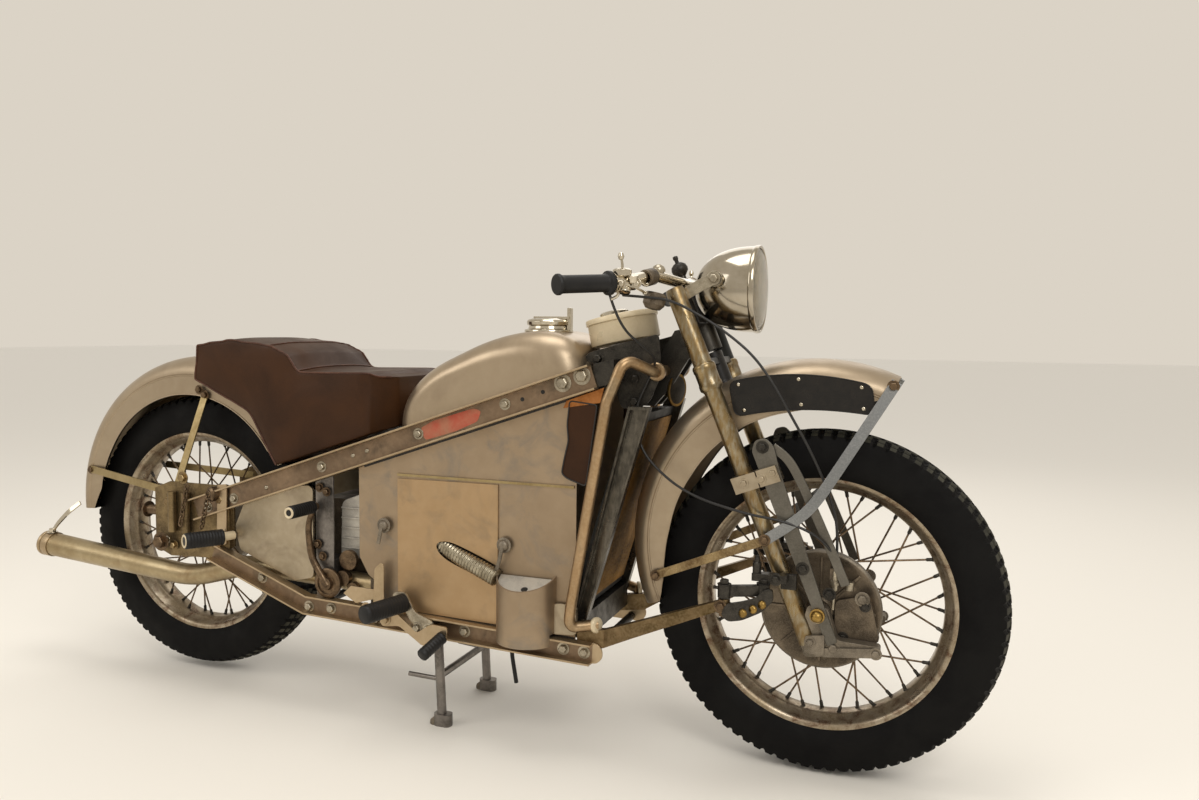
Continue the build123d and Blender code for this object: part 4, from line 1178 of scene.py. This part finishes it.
# Fork ends: a cast foot round the tube, a clamp block, and the arm that holds the brake plate
footOutline = [(772, 254), (905, 270), (907, 288), (830, 292), (812, 350), (776, 352), (762, 290)]
lugShapes = [
    prismShape(roundedOutline(footOutline, 8), -113, -87),
    boltShape((824, -113, 277), outward, 15, 7),
    boltShape((871, -87, 366), outward, 16, 8),
]
makePair("forkEnds", lugShapes, "castAluminium", "steering", "cast_aluminium", bevel=1.2)
endShapes = [
    prismShape(roundedOutline([(773, 265), (809, 263), (809, 302), (774, 296)], 4), -122, -114),
    strapShape([(806, -117, 268), (908, -117, 279)], 17, 5, facing),
    boltShape((899, -119.5, 278), outward, 13, 6),
    boltShape((783, -122, 286), outward, 12, 5),
]
makePair("forkEndBlocks", endShapes, "castAluminium", "steering", "bright_steel", bevel=1.0)
domeRows = [(0, 0), (13.5, 0), (13.5, 5), (11, 6), (11, 11), (9, 15), (5, 18), (0, 19)]
makePair("axleNuts", [latheShape(domeRows, (795, -119, 336), outward, 28)], "brass", "steering", "brass",
         sharp=50)

# Brake plate with a turned edge and ribs, its cam box, and the adjuster of the cable
plateCentre = (795, 0, 334)
plateRows = [(0, 84), (22, 84), (26, 80), (28, 72), (60, 69), (96, 69.5), (103, 73), (108, 73), (111, 70),
             (111, 61), (0, 61)]
plateShapes = [latheShape(plateRows, plateCentre, outward, 96)]
edgeRows = [(102, 72.5), (109, 72.5), (112, 70), (112, 61), (109, 61), (109, 66), (102, 66)]
edgeShapes = [latheShape(edgeRows, plateCentre, outward, 96, closed=True)]
makePiece("brakePlateEdge", edgeShapes, "castAluminium", "steering", "cast_aluminium", sharp=30)
ribFoot = np.array([795, -71, 334])
for turn in range(0, 360, 45):
    way = np.array([cos(radians(turn)), 0, sin(radians(turn))])
    plateShapes.append(strapShape([ribFoot + way * 30, ribFoot + way * 100], 5, 4, facing))
camBox = [(822, 275), (904, 287), (886, 363), (866, 369), (822, 357)]
plateShapes.append(prismShape(roundedOutline(camBox, 10), -84, -68))
plateShapes.append(boxShape((812, -97, 398), (834, -70, 420)))
makePiece("brakePlateCast", plateShapes, "darkCasting", "steering", "cast_aluminium", bevel=1.0, sharp=30,
          replaces=("brake_plate",))
downCable = unit((-0.05, 0, -1))
leverShapes = [
    latheShape([(0, 0), (7, 0), (7, 34), (5, 38), (0, 38)], (823, -92, 416), downCable, 18),
    rodShape(9, 8, (822, -92, 398), downCable, 6),
    rodShape(3, 40, (821, -92, 382), downCable, 12),
    rodShape(8, 16, (848, -86, 396), downCable, 16),
]
makePiece("cableAdjusters", leverShapes, "zincPlate", "steering", "bright_steel", bevel=0.5)
plateBolts = boltsAt([(838, 290), (876, 352)], 84, 12, 5)
makePiece("plateBolts", plateBolts, "darkSteelAndShade", "steering", "dark_steel", bevel=0.5)

# Mudguard stays: a bright bar down from the front tip, and a rusty one back from the strut
frontBar = [(918, -79.5, 765), (833, -111, 621), (784, -125, 539), (748, -128, 505), (697, -128, 468)]
makePair("frontStayBars", [strapShape(bentLine(frontBar, 42, 9), 20, 3.5, facing)], "stayAluminium",
         "steering", "bright_steel", bevel=0.7, replaces=("front_stays",))
backShapes = [strapShape([(704, -126, 471), (471, -79.5, 367)], 17, 4, facing)]
makePair("backStayBars", backShapes, "wornNickel", "steering", "worn_nickel", bevel=0.7)
stayPlaces = [(697, -130, 469), (476, -82, 369), (912, -82, 757)]
stayBolts = [boltShape(place, outward, 13, 6) for place in stayPlaces]
makePair("stayBolts", stayBolts, "brownSteel", "steering", "dark_steel", bevel=0.5)


# Number plates: black, blank, with a raised rim and six screws, with bowed edges that follow the mudguard's
# curve
def bowLine(first, middle, last):
    # parabola through three points, in 15 places
    t = np.linspace(0, 1, 15)[:, None]
    first, middle, last = np.array(first, float), np.array(middle, float), np.array(last, float)
    return first * (1 - t) * (1 - 2 * t) + middle * 4 * t * (1 - t) + last * t * (2 * t - 1)


plateTop = bowLine((613, 756), (744, 774), (876, 758))
plateFoot = bowLine((881, 703), (750, 709), (627, 690))
plateOutline = roundedOutline(np.vstack([plateTop[::2], plateFoot[::2]]), 17)
plateRim = np.array([(x, -80.2, z) for x, z in np.vstack([plateOutline, plateOutline[:1]])])
makePair("numberPlateSheets", [prismShape(plateOutline, -79.8, -77.8)], "plateBlack", "steering",
         "black_plate", replaces=("number_plates",))
makePair("numberPlateRims", [tubeShape(plateRim, 1.1, 8)], "plateBlack", "steering", "black_plate")
screws = []
for line, inward in ((plateTop, -9), (plateFoot, 9)):
    for number in (1, 7, 13):
        screws.append(rivetShape((line[number][0], -79.8, line[number][1] + inward), outward, 4.0))
makePair("plateScrews", screws, "brightPlate", "steering", "bright_steel")
print("fork and stays built")


# Handlebar: grips with flanges, levers, control clusters, bell and damper knob
barRun = unit(np.array([452, -240, 936]) - np.array([372, -346, 928]))
gripFoot = np.array([372, -346, 928]) - barRun * 4
gripRows = [(0, 0), (17, 0), (18.5, 2), (18.5, 6), (16.5, 9), (15.8, 14), (15.8, 96), (17, 101),
            (21.5, 104), (22, 107), (21.5, 111), (11.2, 113), (11.2, 60)]
makePair("gripRubbers", [latheShape(gripRows, gripFoot, barRun, 40)], "rubber", "steering", "black_rubber",
         replaces=("grips",))
# the cluster: two clamps, a round switch with its lever, studs, and two flat levers inwards
clusterAt = np.array([446, -248, 936])
switchRows = [(0, 0), (15, 0), (17, 2), (17, 12), (12, 15), (0, 16)]
# small folded lever below, seen from the side
lowLever = [clusterAt + [4, -2, -12], clusterAt + [2, -4, -24], clusterAt + [-10, -8, -30]]
clusterShapes = [
    latheShape([(11.1, -12), (18, -12), (18, 14), (11.1, 14)], clusterAt, barRun, 28, closed=True),
    latheShape([(11.1, 20), (15, 20), (15, 34), (11.1, 34)], clusterAt, barRun, 28, closed=True),
    latheShape(switchRows, clusterAt + [8, 0, 10], vertical, 28),
    rodShape(10, 12, clusterAt + [26, 2, 2], (0.2, -0.3, 1), 20),
    latheShape([(0, 0), (9, 0), (11, 3), (11, 11), (0, 13)], clusterAt + [14, -4, -8], (0.1, -0.4, -1), 20),
    tubeShape(bentLine([clusterAt + [8, 0, 22], clusterAt + [8, 0, 34], clusterAt + [6, -2, 44]], 8),
              np.linspace(2.8, 2.2, 9), 10),
    latheShape([(0, -7), (4, -6), (6, 0), (4, 6), (0, 7)], clusterAt + [6, -2, 46], vertical, 16),
    boltShape(clusterAt + [12, -14, -2], outward, 10, 5),
    boltShape(clusterAt + [34, 4, -2], outward, 10, 5),
    tubeShape(bentLine(lowLever, 8), 3.0, 10),
]
# flat control levers that run inwards along the bar, each with a rounded end
leverEndRows = [(0, -4), (4, -3), (5, 0), (4, 3), (0, 4)]
for drop, reach in ((9, 62), (-6, 54)):
    leverLine = bentLine([clusterAt + [18, 4, drop], clusterAt + [30, 26, drop - 4],
                          clusterAt + [34, reach, drop - 10]], 20)
    clusterShapes.append(strapShape(leverLine, 7, 3, (0.2, 0.2, 1)))
    clusterShapes.append(latheShape(leverEndRows, leverLine[-1], vertical, 14))
makePair("barControls", clusterShapes, "brightPlate", "steering", "bright_steel", bevel=0.4)
# inner clamp and a bulb-shaped switch under the bar, then bell, damper knob and horn
innerClampRows = [(11.1, -14), (15, -14), (16, -12), (16, 12), (15, 14), (11.1, 14)]
innerSwitchRows = [(0, 0), (17, 0), (21, 5), (21, 22), (14, 31), (0, 33)]
innerShapes = [
    latheShape(innerClampRows, (476, -158, 950), unit((26, 100, 19)), 28, closed=True),
    latheShape(innerSwitchRows, (487, -146, 922), unit((-0.2, -0.1, -1)), 28),
]
makePair("barSwitches", innerShapes, "darkCasting", "steering", "dark_steel", bevel=0.6)
bellShapes = [latheShape([(0, 0), (12, 0), (13, 5), (12, 10), (8, 15), (3, 17), (0, 17)], (484, -118, 960),
                         unit((-0.2, -0.2, 1)), 28)]
makePiece("barBell", bellShapes, "zincPlate", "steering", "bright_steel")
knobRows = [(0, 0), (13, 0), (13, 8), (7, 12), (7, 26), (11, 30), (16, 36), (17, 42), (15, 49), (9, 54),
            (4, 56), (4, 61), (5.5, 64), (5, 69), (0, 71)]
makePiece("damperKnob", [latheShape(knobRows, onFork(936), steeringAxis, 32)], "darkSteelAndShade",
          "steering", "dark_steel")
hornFoot = np.array([466, 0, 734])
hornWay = unit((1, -0.3, -0.05))
bowlRows = [(0, 29.2), (29.5, 29.2), (29.5, 29.8), (22, 30.6), (0, 31.5)]
hornRows = [(0, 0), (12, 0), (16, 6), (20, 16), (30, 24), (33, 27), (33, 30), (30, 30), (0, 29)]
makePiece("hornShell", [latheShape(hornRows, hornFoot, hornWay, 40)], "brass", "frame", "brass")
makePiece("hornBowl", [latheShape(bowlRows, hornFoot, hornWay, 40)], "darkSteelAndShade", "frame", "dark_steel",
          sharp=60)
print("handlebar built")


# Cables: black casings on the fork, from the bars to the brake and the hub
def cablePiece(name, route, radius, replaced):
    # a smooth line of even thickness by way of the route's points
    curve = bpy.data.curves.new(name, "CURVE")
    curve.dimensions = "3D"
    curve.resolution_u = 10
    curve.bevel_depth = radius * mm
    curve.bevel_resolution = 3
    curve.use_fill_caps = True
    line = curve.splines.new("NURBS")
    line.points.add(len(route) - 1)
    for point, place in zip(line.points, route):
        point.co = (*[value * mm for value in place], 1.0)
    line.order_u = 3
    line.use_endpoint_u = True
    helper = bpy.data.objects.new(name + "Line", curve)
    bpy.context.scene.collection.objects.link(helper)
    mesh = bpy.data.meshes.new_from_object(helper.evaluated_get(bpy.context.evaluated_depsgraph_get()))
    bpy.data.objects.remove(helper)
    mesh.name = name
    return finishPiece(name, mesh, "cableBlack", "steering", "black_rubber", sharp=60, replaces=replaced)


# The brake cable's points are those of the frame's own cable; the hub cable hangs free behind the fork
cableRoutes = {
    "brakeCable": {"replaced": ("brake_cable",), "route": [
        (452, -236, 914), (474, -186, 913), (516, -148, 909), (568, -130, 881), (619, -125, 848),
        (668, -123, 808), (705, -121, 757), (734, -118, 706), (764, -113, 654), (792, -106, 597),
        (814, -100, 542), (826, -96, 485), (823, -90, 419)]},
    "hubCable": {"replaced": (), "route": [
        (424, -228, 915), (432, -200, 862), (462, -150, 822), (482, -110, 796), (455, -90, 752),
        (432, -92, 700), (438, -104, 652), (466, -118, 602), (548, -132, 544), (662, -134, 516),
        (728, -132, 509), (790, -120, 486), (826, -98, 440), (830, -92, 424)]},
}
for name, cable in cableRoutes.items():
    cablePiece(name, cable["route"], 2.5, cable["replaced"])
print("cables built")


# Footrests: ribbed rubbers with pale end rings
def ribbedRubber(inner, outer, radius):
    # a rubber sleeve between two points, with a rib every 7 mm or so
    inner = np.array(inner, float)
    outer = np.array(outer, float)
    length = np.linalg.norm(outer - inner)
    ribPitch = 7
    count = int(length / ribPitch)
    rows = [(0, 0)]
    for number in range(count):
        base = 2 + number * (length - 6) / count
        rows += [(radius - 0.4, base), (radius, base + 1.2), (radius, base + 4.2),
                 (radius - 0.4, base + 5.4)]
    rows += [(radius - 0.5, length - 2), (radius - 2.5, length), (0, length)]
    return latheShape(rows, inner, unit(outer - inner), 36)


def restCap(inner, outer, radius):
    # a pale ring let into the rubber's outer end
    way = unit(np.array(outer, float) - inner)
    return latheShape([(radius - 5, -4), (radius, -4), (radius, 0.8), (radius - 2, 1.8), (radius - 5, 0.8)],
                      np.array(outer, float), way, 32, closed=True)


frontRest = ((-42, -171, 280), (-76, -268, 277))
rearRest = ((-514, -168, 377), (-553, -243, 379))
kickRest = ((-276.5, -160, 462), (-280, -235, 462))
rubberShapes = [ribbedRubber(*frontRest, 19.5), ribbedRubber(*rearRest, 18.0)]
makePair("footrestRubbers", rubberShapes, "rubber", "frame", "black_rubber", sharp=60,
         replaces=("footrests",))
restNeck = rodShape(10, 30, (-506, -144, 377), unit((-0.3, -1, 0)), 24)
capShapes = [restCap(*rearRest, 15.0), restNeck]
makePair("footrestCaps", capShapes, "cream", "frame", "bright_steel")
bracketOutline = [(-74, 272), (-68, 300), (-40, 302), (-18, 262), (26, 246), (26, 216), (-14, 216),
                  (-40, 262)]
restBrackets = [
    prismShape(roundedOutline(bracketOutline, 9), -171, -165.2),
    boltShape((14, -171, 231), outward, 14, 7),
    boltShape((-12, -171, 230), outward, 14, 7),
]
makePair("footrestBrackets", restBrackets, "zincPlate", "frame", "bright_steel", bevel=0.8)
pedalOutline = [
    (-98, 238), (-60, 262), (-8, 222), (24, 244), (64, 242), (60, 208), (6, 196), (-50, 232), (-90, 226)]
pedalShapes = [
    prismShape(roundedOutline(pedalOutline, 8), -180, -175),
    boltShape((-82, -180, 243), outward, 15, 7),
]
makePiece("pedalArm", pedalShapes, "railAluminium", "frame", "bright_steel", bevel=0.6,
          replaces=("brake_pedal",))
makePiece("pedalRubber", [ribbedRubber((54, -180, 222), (36, -234, 197), 13.0)], "rubber", "frame",
          "black_rubber", sharp=60)

# Kick lever: a bent bar with a rubber pad and a splined boss
kickLine = bentLine([(-242, -158, 291), (-284, -158, 350), (-292, -158, 420), (-276, -158, 462)], 24)
kickShapes = [
    tubeShape(kickLine, np.linspace(8.0, 6.2, len(kickLine)), 16),
    rodShape(9, 20, (-276, -150, 462), outward, 20),
]
makePiece("kickBar", kickShapes, "brownSteel", "frame", "dark_steel", bevel=0.5, replaces=("kick_lever",))
makePiece("kickPad", [ribbedRubber(*kickRest, 14.0)], "rubber", "frame", "black_rubber", sharp=60)
makePiece("kickPadEnd", [restCap(*kickRest, 12.0)], "cream", "frame", "bright_steel")

# Kick-start shaft, gears and nuts beside the gearbox
gearShapes = [
    latheShape([(0, 0), (31, 0), (33, 2), (33, 8), (30, 10), (24, 10), (24, 7), (15, 7), (13, 16), (0, 17)],
               (-246, -146, 295), outward, 40),
    latheShape([(0, 0), (22, 0), (22, 10), (12, 13), (0, 13)], (-204, -128, 346), outward, 32),
    latheShape([(0, 0), (17, 0), (17, 14), (0, 16)], (-214, -130, 306), outward, 28),
    latheShape([(0, 0), (13, 0), (13, 14), (0, 16)], (-190, -128, 286), outward, 28),
]
makePiece("gearboxWheels", gearShapes, "brownSteel", "frame", "dark_steel", bevel=0.5)
gearBolts = boltsAt([(-262, 352), (-274, 378), (-268, 503), (-250, 495)], 147, 12, 6)
makePiece("gearboxBolts", gearBolts, "brownSteel", "frame", "dark_steel", bevel=0.5)
# the gearbox's case with five cooling ribs
caseOutline = [(-240, 345), (-150, 345), (-150, 480), (-178, 492), (-236, 470)]
caseShapes = [prismShape(roundedOutline(caseOutline, 14), -112, -86)]
for z in (366, 388, 410, 432, 454):
    caseShapes.append(boxShape((-236, -116, z), (-156, -110, z + 4)))
makePair("gearboxCase", caseShapes, "paleCasting", "frame", "cast_aluminium", bevel=1.5)
print("controls built")


# Rear ends: two hanging chains, bolts, tie plates and axle nuts
def chainShape(top, low):
    # oval links along a line, each a quarter turn from the one before
    pitch = 11.0
    wire = 1.9
    halfWidth = 5.0
    top = np.array(top, float)
    low = np.array(low, float)
    u, v, w = axisFrame(low - top)
    length = np.linalg.norm(low - top)
    turn = np.linspace(0, 2 * pi, 13)[:, None]
    links = []
    for number in range(int(length / pitch)):
        middle = top + w * (number + 0.5) * pitch
        across = u if number % 2 else v
        ring = middle + w * np.cos(turn) * (pitch * 0.5 + wire) + across * np.sin(turn) * halfWidth
        links.append(tubeShape(ring, wire, 6))
    return combined(links)


chains = [chainShape((-615, -167, 489), (-640, -167, 385)),
          chainShape((-555, -167, 476), (-578, -167, 386))]
makePair("hangingChains", chains, "brownSteel", "frame", "dark_steel", sharp=80)
rearPlaces = [(-646, 500, 17), (-538, 457, 17), (-676, 340, 13), (-560, 352, 13), (-690, 440, 15)]
rearBolts = [boltShape((x, -147, z), outward, across, 8) for x, z, across in rearPlaces]
makePair("rearPlateBolts", rearBolts, "wornNickel", "frame", "dark_steel", bevel=0.5)
tieOutline = [(-545, 350), (-518, 356), (-514, 495), (-541, 491)]
makePair("tiePlates", [prismShape(roundedOutline(tieOutline, 5), -155, -151.2)], "railAluminium", "frame",
         "sheet_aluminium", bevel=0.7)
nutShapes = [
    latheShape([(0, 0), (17, 0), (17, 16), (12, 20), (0, 20)], (-548, -147, 470), (-0.4, -1, 0), 28),
    boltShape((-703, -160, 348), outward, 26, 12),
    rodShape(12, 42, (-728, -128, 414), (-1, 0, 0), 24),
    boltShape((-770, -128, 414), (-1, 0, 0), 22, 12),
    boltShape((-1006, -79.5, 487), outward, 12, 5),
    boltShape((-640, -80, 688), outward, 13, 6),
    boltShape((-655, -82, 700), outward, 13, 6),
]
makePair("rearNuts", nutShapes, "brownSteel", "frame", "dark_steel", bevel=0.6)

# Silencer: the pipe rises in an elbow behind the lower rail; ring, band and hanger at the mouth
pipeY = -110
mouthAt = np.array([-1127.1, pipeY, 296.5])
mouthWay = unit((-412.1, 0, 33.7))
pipeLine = bentLine([mouthAt, (-655, pipeY, 257.9), (-490, pipeY, 303), (-151, pipeY, 291)], 53, 12)
taper = np.interp(pipeLine[:, 0], (-1127, -715, -655, -500, -470, -151), (28.6, 25.2, 24.6, 24.2, 21, 21))
makePiece("exhaustPipe", [tubeShape(pipeLine, taper, 48)], "silencerSteel", "frame", "worn_nickel",
          sharp=60, replaces=("exhaust",))
bandRows = [(28.2, -30), (30.4, -30), (30.8, -28), (30.8, -12), (30.4, -10), (28.4, -10)]
ringRows = [(24, 2.5), (27.5, 3), (30.4, 1), (31, -1), (31, -5), (29.8, -7), (28.6, -7), (24, 0)]
ringShapes = [latheShape(rows, mouthAt, mouthWay, 48, closed=True) for rows in (bandRows, ringRows)]
makePiece("mouthRings", ringShapes, "railAluminium", "frame", "worn_nickel", sharp=50)
# a dark disc just inside the mouth: painted shade of the pipe's open bore
mouthShadeRows = [(0, 0.2), (24.5, 0.2), (24.5, 0.9), (0, 0.9)]
makePiece("exhaustMouthShade", [latheShape(mouthShadeRows, mouthAt, mouthWay, 40)], "core", "frame", "dark_steel")
hangerLine = bentLine([(-1106, -112, 326), (-1096, -106, 346), (-1072, -94, 376), (-1046, -80, 400)], 14)
hangerShapes = [strapShape(hangerLine, 12, 4, (0.6, 1, 0.3)),
                boltShape((-1106, -112, 325), vertical, 15, 9)]
makePiece("silencerHanger", hangerShapes, "brightPlate", "frame", "bright_steel", bevel=0.5)

# Centre stand's feet, like low shoes, and the drain tube
shoe = [(-14, 0), (26, 0), (26, 6), (20, 12), (12, 20), (-4, 20), (-14, 12)]
footShapes = [prismShape(roundedOutline(shoe, 5), y - 10, y + 10) for y in (-106, 106)]
makePiece("standFeet", footShapes, "castAluminium", "centre_stand", "dark_steel", bevel=2.0)
drainLine = bentLine([(150, -60, 214), (153, -60, 160), (164, -60, 98)], 20)
makePiece("drainTube", [tubeShape(drainLine, 4.5, 14)], "rubber", "frame", "black_rubber")

# Ends of the lower arms: pivot blocks, links and a clevis on the fork
armShapes = [
    latheShape([(0, 0), (13, 0), (14, 2), (14, 16), (0, 16)], (634, -176, 342), vertical, 28),
    boltShape((634, -176, 342), (0, 0, -1), 17, 8),
    boltShape((630, -189, 354), outward, 14, 7),
]
makePair("armPivots", armShapes, "brownSteel", "frame", "dark_steel", bevel=0.7)
linkPlateOutline = [(632, 340), (644, 327), (668, 329), (700, 343), (720, 364), (718, 386), (704, 386),
                    (690, 370), (668, 364), (640, 360)]
linkSlope = 30 / 66  # the links run in towards the fork


def linkPlateShape():
    # the curved link plate, turned from the arm's end towards the fork
    verts, faces = prismShape(roundedOutline(linkPlateOutline, 7), -194, -187)
    verts[:, 1] += (verts[:, 0] - 634) * linkSlope
    return verts, faces


for side in ("right", "left"):
    linkShapes = [
        strapShape([(634, -176, 380), (700, -146, 380)], 20, 12, (0.4, 1, 0)),
        rodShape(12, 24, (634, -176, 368), vertical, 28),
        rodShape(12, 24, (700, -146, 368), vertical, 28),
        boltShape((700, -146, 392), vertical, 15, 8),
        boltShape((634, -176, 392), vertical, 15, 8),
    ]
    nutShapes = [latheShape([(0, 0), (8, 0), (8, 4), (5.5, 7), (0, 7.5)],
                            (x, -194 + (x - 634) * linkSlope, z), unit((-linkSlope, -1, 0)), 20)
                 for x, z in [(670, 343), (687, 350), (702, 358)]]
    groups = [linkShapes, [linkPlateShape()], nutShapes]
    if side == "left":
        groups = [[mirroredShape(shape) for shape in group] for group in groups]
    bars, plates, nuts = groups
    makePiece(side + "LinkBars", bars, "darkSteelAndShade", side + "_link", "dark_steel", bevel=0.6,
              replaces=("steering_link_" + side,))
    makePiece(side + "LinkPlates", plates, "darkSteelAndShade", side + "_link", "dark_steel", bevel=0.8)
    makePiece(side + "LinkNuts", nuts, "brass", side + "_link", "brass", sharp=50)
clevisShapes = [
    boxShape((678, -148, 396), (742, -126, 410)),
    latheShape([(0, 0), (8, 0), (8, 20), (5, 22), (4, 34), (0, 34)], (686, -138, 408), vertical, 20),
    boltShape((722, -148, 403), outward, 14, 7),
    boxShape((728, -126, 380), (756, -113, 408)),
]
makePair("forkClevises", clevisShapes, "darkSteelAndShade", "steering", "dark_steel", bevel=1.2)
print("ends and stand built")


# Seat: leathercloth over foam, swollen by a short cloth simulation inside the shape of its frame
seatLook = {"voxelMm": 6.0, "rounding": 3, "inset": 4.0, "cap": 7.0, "frames": 20, "pressure": 4.0,
            "evening": 60, "noseFrom": -146.0, "noseTo": -103.0, "noseShare": 42 / 148, "halfWidth": 150.0,
            "dishX": -215.0, "dishReach": 62.0, "dishDepth": 9.0, "dishFoot": 700.0, "dishRise": 50.0,
            "foldX": -146.0, "foldZ": 700.0, "foldWidth": 9.0, "foldDepth": 4.0, "foldLean": 0.12,
            "foldFromY": 100.0, "foldTop": 770.0, "foldFade": 30.0, "evenShare": 0.88}


def setPoints(mesh, points):
    # moves the mesh's points
    mesh.vertices.foreach_set("co", points.ravel())
    mesh.update()


def appliedMesh(holder, name):
    # the mesh that the holder's modifiers give
    made = bpy.data.meshes.new_from_object(holder.evaluated_get(bpy.context.evaluated_depsgraph_get()))
    made.name = name
    return made


def seatMesh():
    # the frame's block remeshed, rounded, drawn in, dished, then swollen and evened out
    holder = bpy.data.objects.new("seatBlank", nodes["seat"].data.copy())
    bpy.context.scene.collection.objects.link(holder)
    remesh = holder.modifiers.new("remesh", "REMESH")
    remesh.mode = "VOXEL"
    remesh.voxel_size = seatLook["voxelMm"] * mm
    mesh = appliedMesh(holder, "seatCushion")
    holder.modifiers.clear()
    holder.data = mesh
    # corners are rounded, then the skin is drawn in
    rounding = holder.modifiers.new("rounding", "SMOOTH")
    rounding.factor = 0.5
    rounding.iterations = seatLook["rounding"]
    mesh = appliedMesh(holder, "seatCushion")
    holder.modifiers.clear()
    holder.data = mesh
    points = readTable(mesh.vertices, "co", 3) / mm
    normals = readTable(mesh.vertices, "normal", 3)
    points -= normals * seatLook["inset"]
    # the nose narrows towards the tank
    noseRun = seatLook["noseTo"] - seatLook["noseFrom"]
    toNose = np.clip((points[:, 0] - seatLook["noseFrom"]) / noseRun, 0, 1)
    points[:, 1] *= 1 - toNose ** 1.3 * seatLook["noseShare"]
    # the top of the rider's part is dished as a bell curve along, a cosine across
    rider = np.exp(-((points[:, 0] - seatLook["dishX"]) / seatLook["dishReach"]) ** 2)
    rider *= np.clip((points[:, 2] - seatLook["dishFoot"]) / seatLook["dishRise"], 0, 1)
    across = np.clip(points[:, 1] / seatLook["halfWidth"], -1, 1)
    points[:, 2] -= seatLook["dishDepth"] * rider * np.cos(across * pi / 2)
    setPoints(mesh, points * mm)
    before = readTable(mesh.vertices, "co", 3)
    cloth = holder.modifiers.new("swell", "CLOTH")
    cloth.settings.use_pressure = True
    cloth.settings.uniform_pressure_force = seatLook["pressure"]
    cloth.settings.effector_weights.gravity = 0.0
    cloth.settings.tension_stiffness = 20
    cloth.settings.compression_stiffness = 20
    cloth.settings.bending_stiffness = 4
    for number in range(1, seatLook["frames"] + 1):
        bpy.context.scene.frame_set(number)
    swollen = appliedMesh(holder, "seatSwollen")
    move = (readTable(swollen.vertices, "co", 3) - before) / mm
    far = np.linalg.norm(move, axis=1)
    move *= np.minimum(1, seatLook["cap"] / np.maximum(far, 1e-6))[:, None]
    # the swelling along the skin's normals is evened out, so that the cover lies taut
    swell = (move * normals).sum(1)
    first, second = readTable(mesh.edges, "vertices", 2, int).T
    share = np.bincount(first, minlength=len(swell)) + np.bincount(second, minlength=len(swell))
    even = swell.copy()
    for number in range(seatLook["evening"]):
        even = np.bincount(first, even[second], len(swell)) + np.bincount(second, even[first], len(swell))
        even /= share
    evenShare = seatLook["evenShare"]
    held = before + normals * (evenShare * even + (1 - evenShare) * swell)[:, None] * mm
    # a soft fold down each side where the wide part ends
    points = held / mm
    fromFold = points[:, 0] - seatLook["foldX"]
    fromFold = fromFold + (points[:, 2] - seatLook["foldZ"]) * seatLook["foldLean"]
    fold = np.exp(-(fromFold / seatLook["foldWidth"]) ** 2)
    # it fades out towards the middle and towards the top
    outside = (np.abs(points[:, 1]) - seatLook["foldFromY"]) / seatLook["foldFade"]
    below = (seatLook["foldTop"] - points[:, 2]) / seatLook["foldFade"]
    fold *= np.clip(outside, 0, 1) * np.clip(below, 0, 1)
    points[:, 1] -= np.sign(points[:, 1]) * fold * seatLook["foldDepth"]
    setPoints(mesh, points * mm)
    bpy.data.objects.remove(holder)
    bpy.context.scene.frame_set(1)
    return mesh


seatPiece = finishPiece("seatCushion", seatMesh(), "leathercloth", "frame", "leathercloth", levels=1,
                        sharp=180, replaces=("seat",), merge=0.0005)


def onSeat(route, lift):
    # the nearest place on the cushion's skin to each point of a line, lifted off it
    line = bentLine(route, 14, 8)
    evenly = np.concatenate([np.linspace(a, b, 9)[:-1] for a, b in zip(line, line[1:])] + [line[-1:]])
    found = []
    for point in evenly:
        place, normal = seatPiece.closest_point_on_mesh(Vector(point * mm))[1:3]
        found.append(np.array(place) / mm + np.array(normal) * lift)
    found = np.array(found)
    length = np.linalg.norm(np.diff(found, axis=0), axis=1).sum()
    return evenLine(found, max(8, int(length / 5)))[0]


bpy.context.view_layer.update()
seatEdge = seatLook["halfWidth"]
pipingRoutes = [
    [(-616, -seatEdge, 728), (-608, -seatEdge, 814), (-505, -seatEdge, 828), (-400, -seatEdge, 818),
     (-350, -seatEdge, 798), (-322, -seatEdge, 762), (-144, -seatEdge, 764), (-103, -106, 756)],
    [(-616, -seatEdge, 728), (-585, -seatEdge, 712), (-462, -seatEdge, 652), (-392, -seatEdge, 540)],
]
acrossRoutes = [
    [(-322, -seatEdge, 762), (-322, 0, 762), (-322, seatEdge, 762)],
    [(-400, -seatEdge, 818), (-396, 0, 822), (-400, seatEdge, 818)],
    [(-608, -seatEdge, 814), (-610, 0, 818), (-608, seatEdge, 814)],
]
pipes = bothSides([tubeShape(onSeat(route, 0.8), 2.1, 8) for route in pipingRoutes])
pipes += [tubeShape(onSeat(route, 0.6), 1.8, 8) for route in acrossRoutes]
makePiece("seatPiping", pipes, "pipingBrown", "frame", "leathercloth", sharp=70)
print("seat made")


# The frame's other solids keep their shapes and get softened edges and their finish
plainNodes = {
    "sheetAluminium": ["side_panels", "scuttles"],
    "doorAluminium": ["engine_doors"],
    "coverAluminium": ["rear_covers"],
    # the rails' pale lips stand in part for the highlight along their lit edges
    "railAluminium": ["upper_rails", "lower_rails"],
    # the rear stays' yellow is a painted reflection of warm wood
    "reflectionYellowBar": ["rear_stays"],
    "armSteel": ["lower_arms"],
    "channelSteel": ["radiator_channels"],
    "barNickel": ["crash_bar"],
    "rearCasting": ["rear_plates"],
    "darkSteelAndShade": ["steering_head"],
    "darkCasting": ["engine_block", "gearbox_block"],
    "plateSteel": ["gearbox_plates", "centre_stand"],
    "brightPlate": ["handlebar", "front_axle", "rear_axle"],
    "blackPaintAndShade": ["cross_tubes"],
    "core": ["radiator"],
}
for surface, names in plainNodes.items():
    for name in names:
        finishedCopy(name, surface)
print("frame pieces finished")
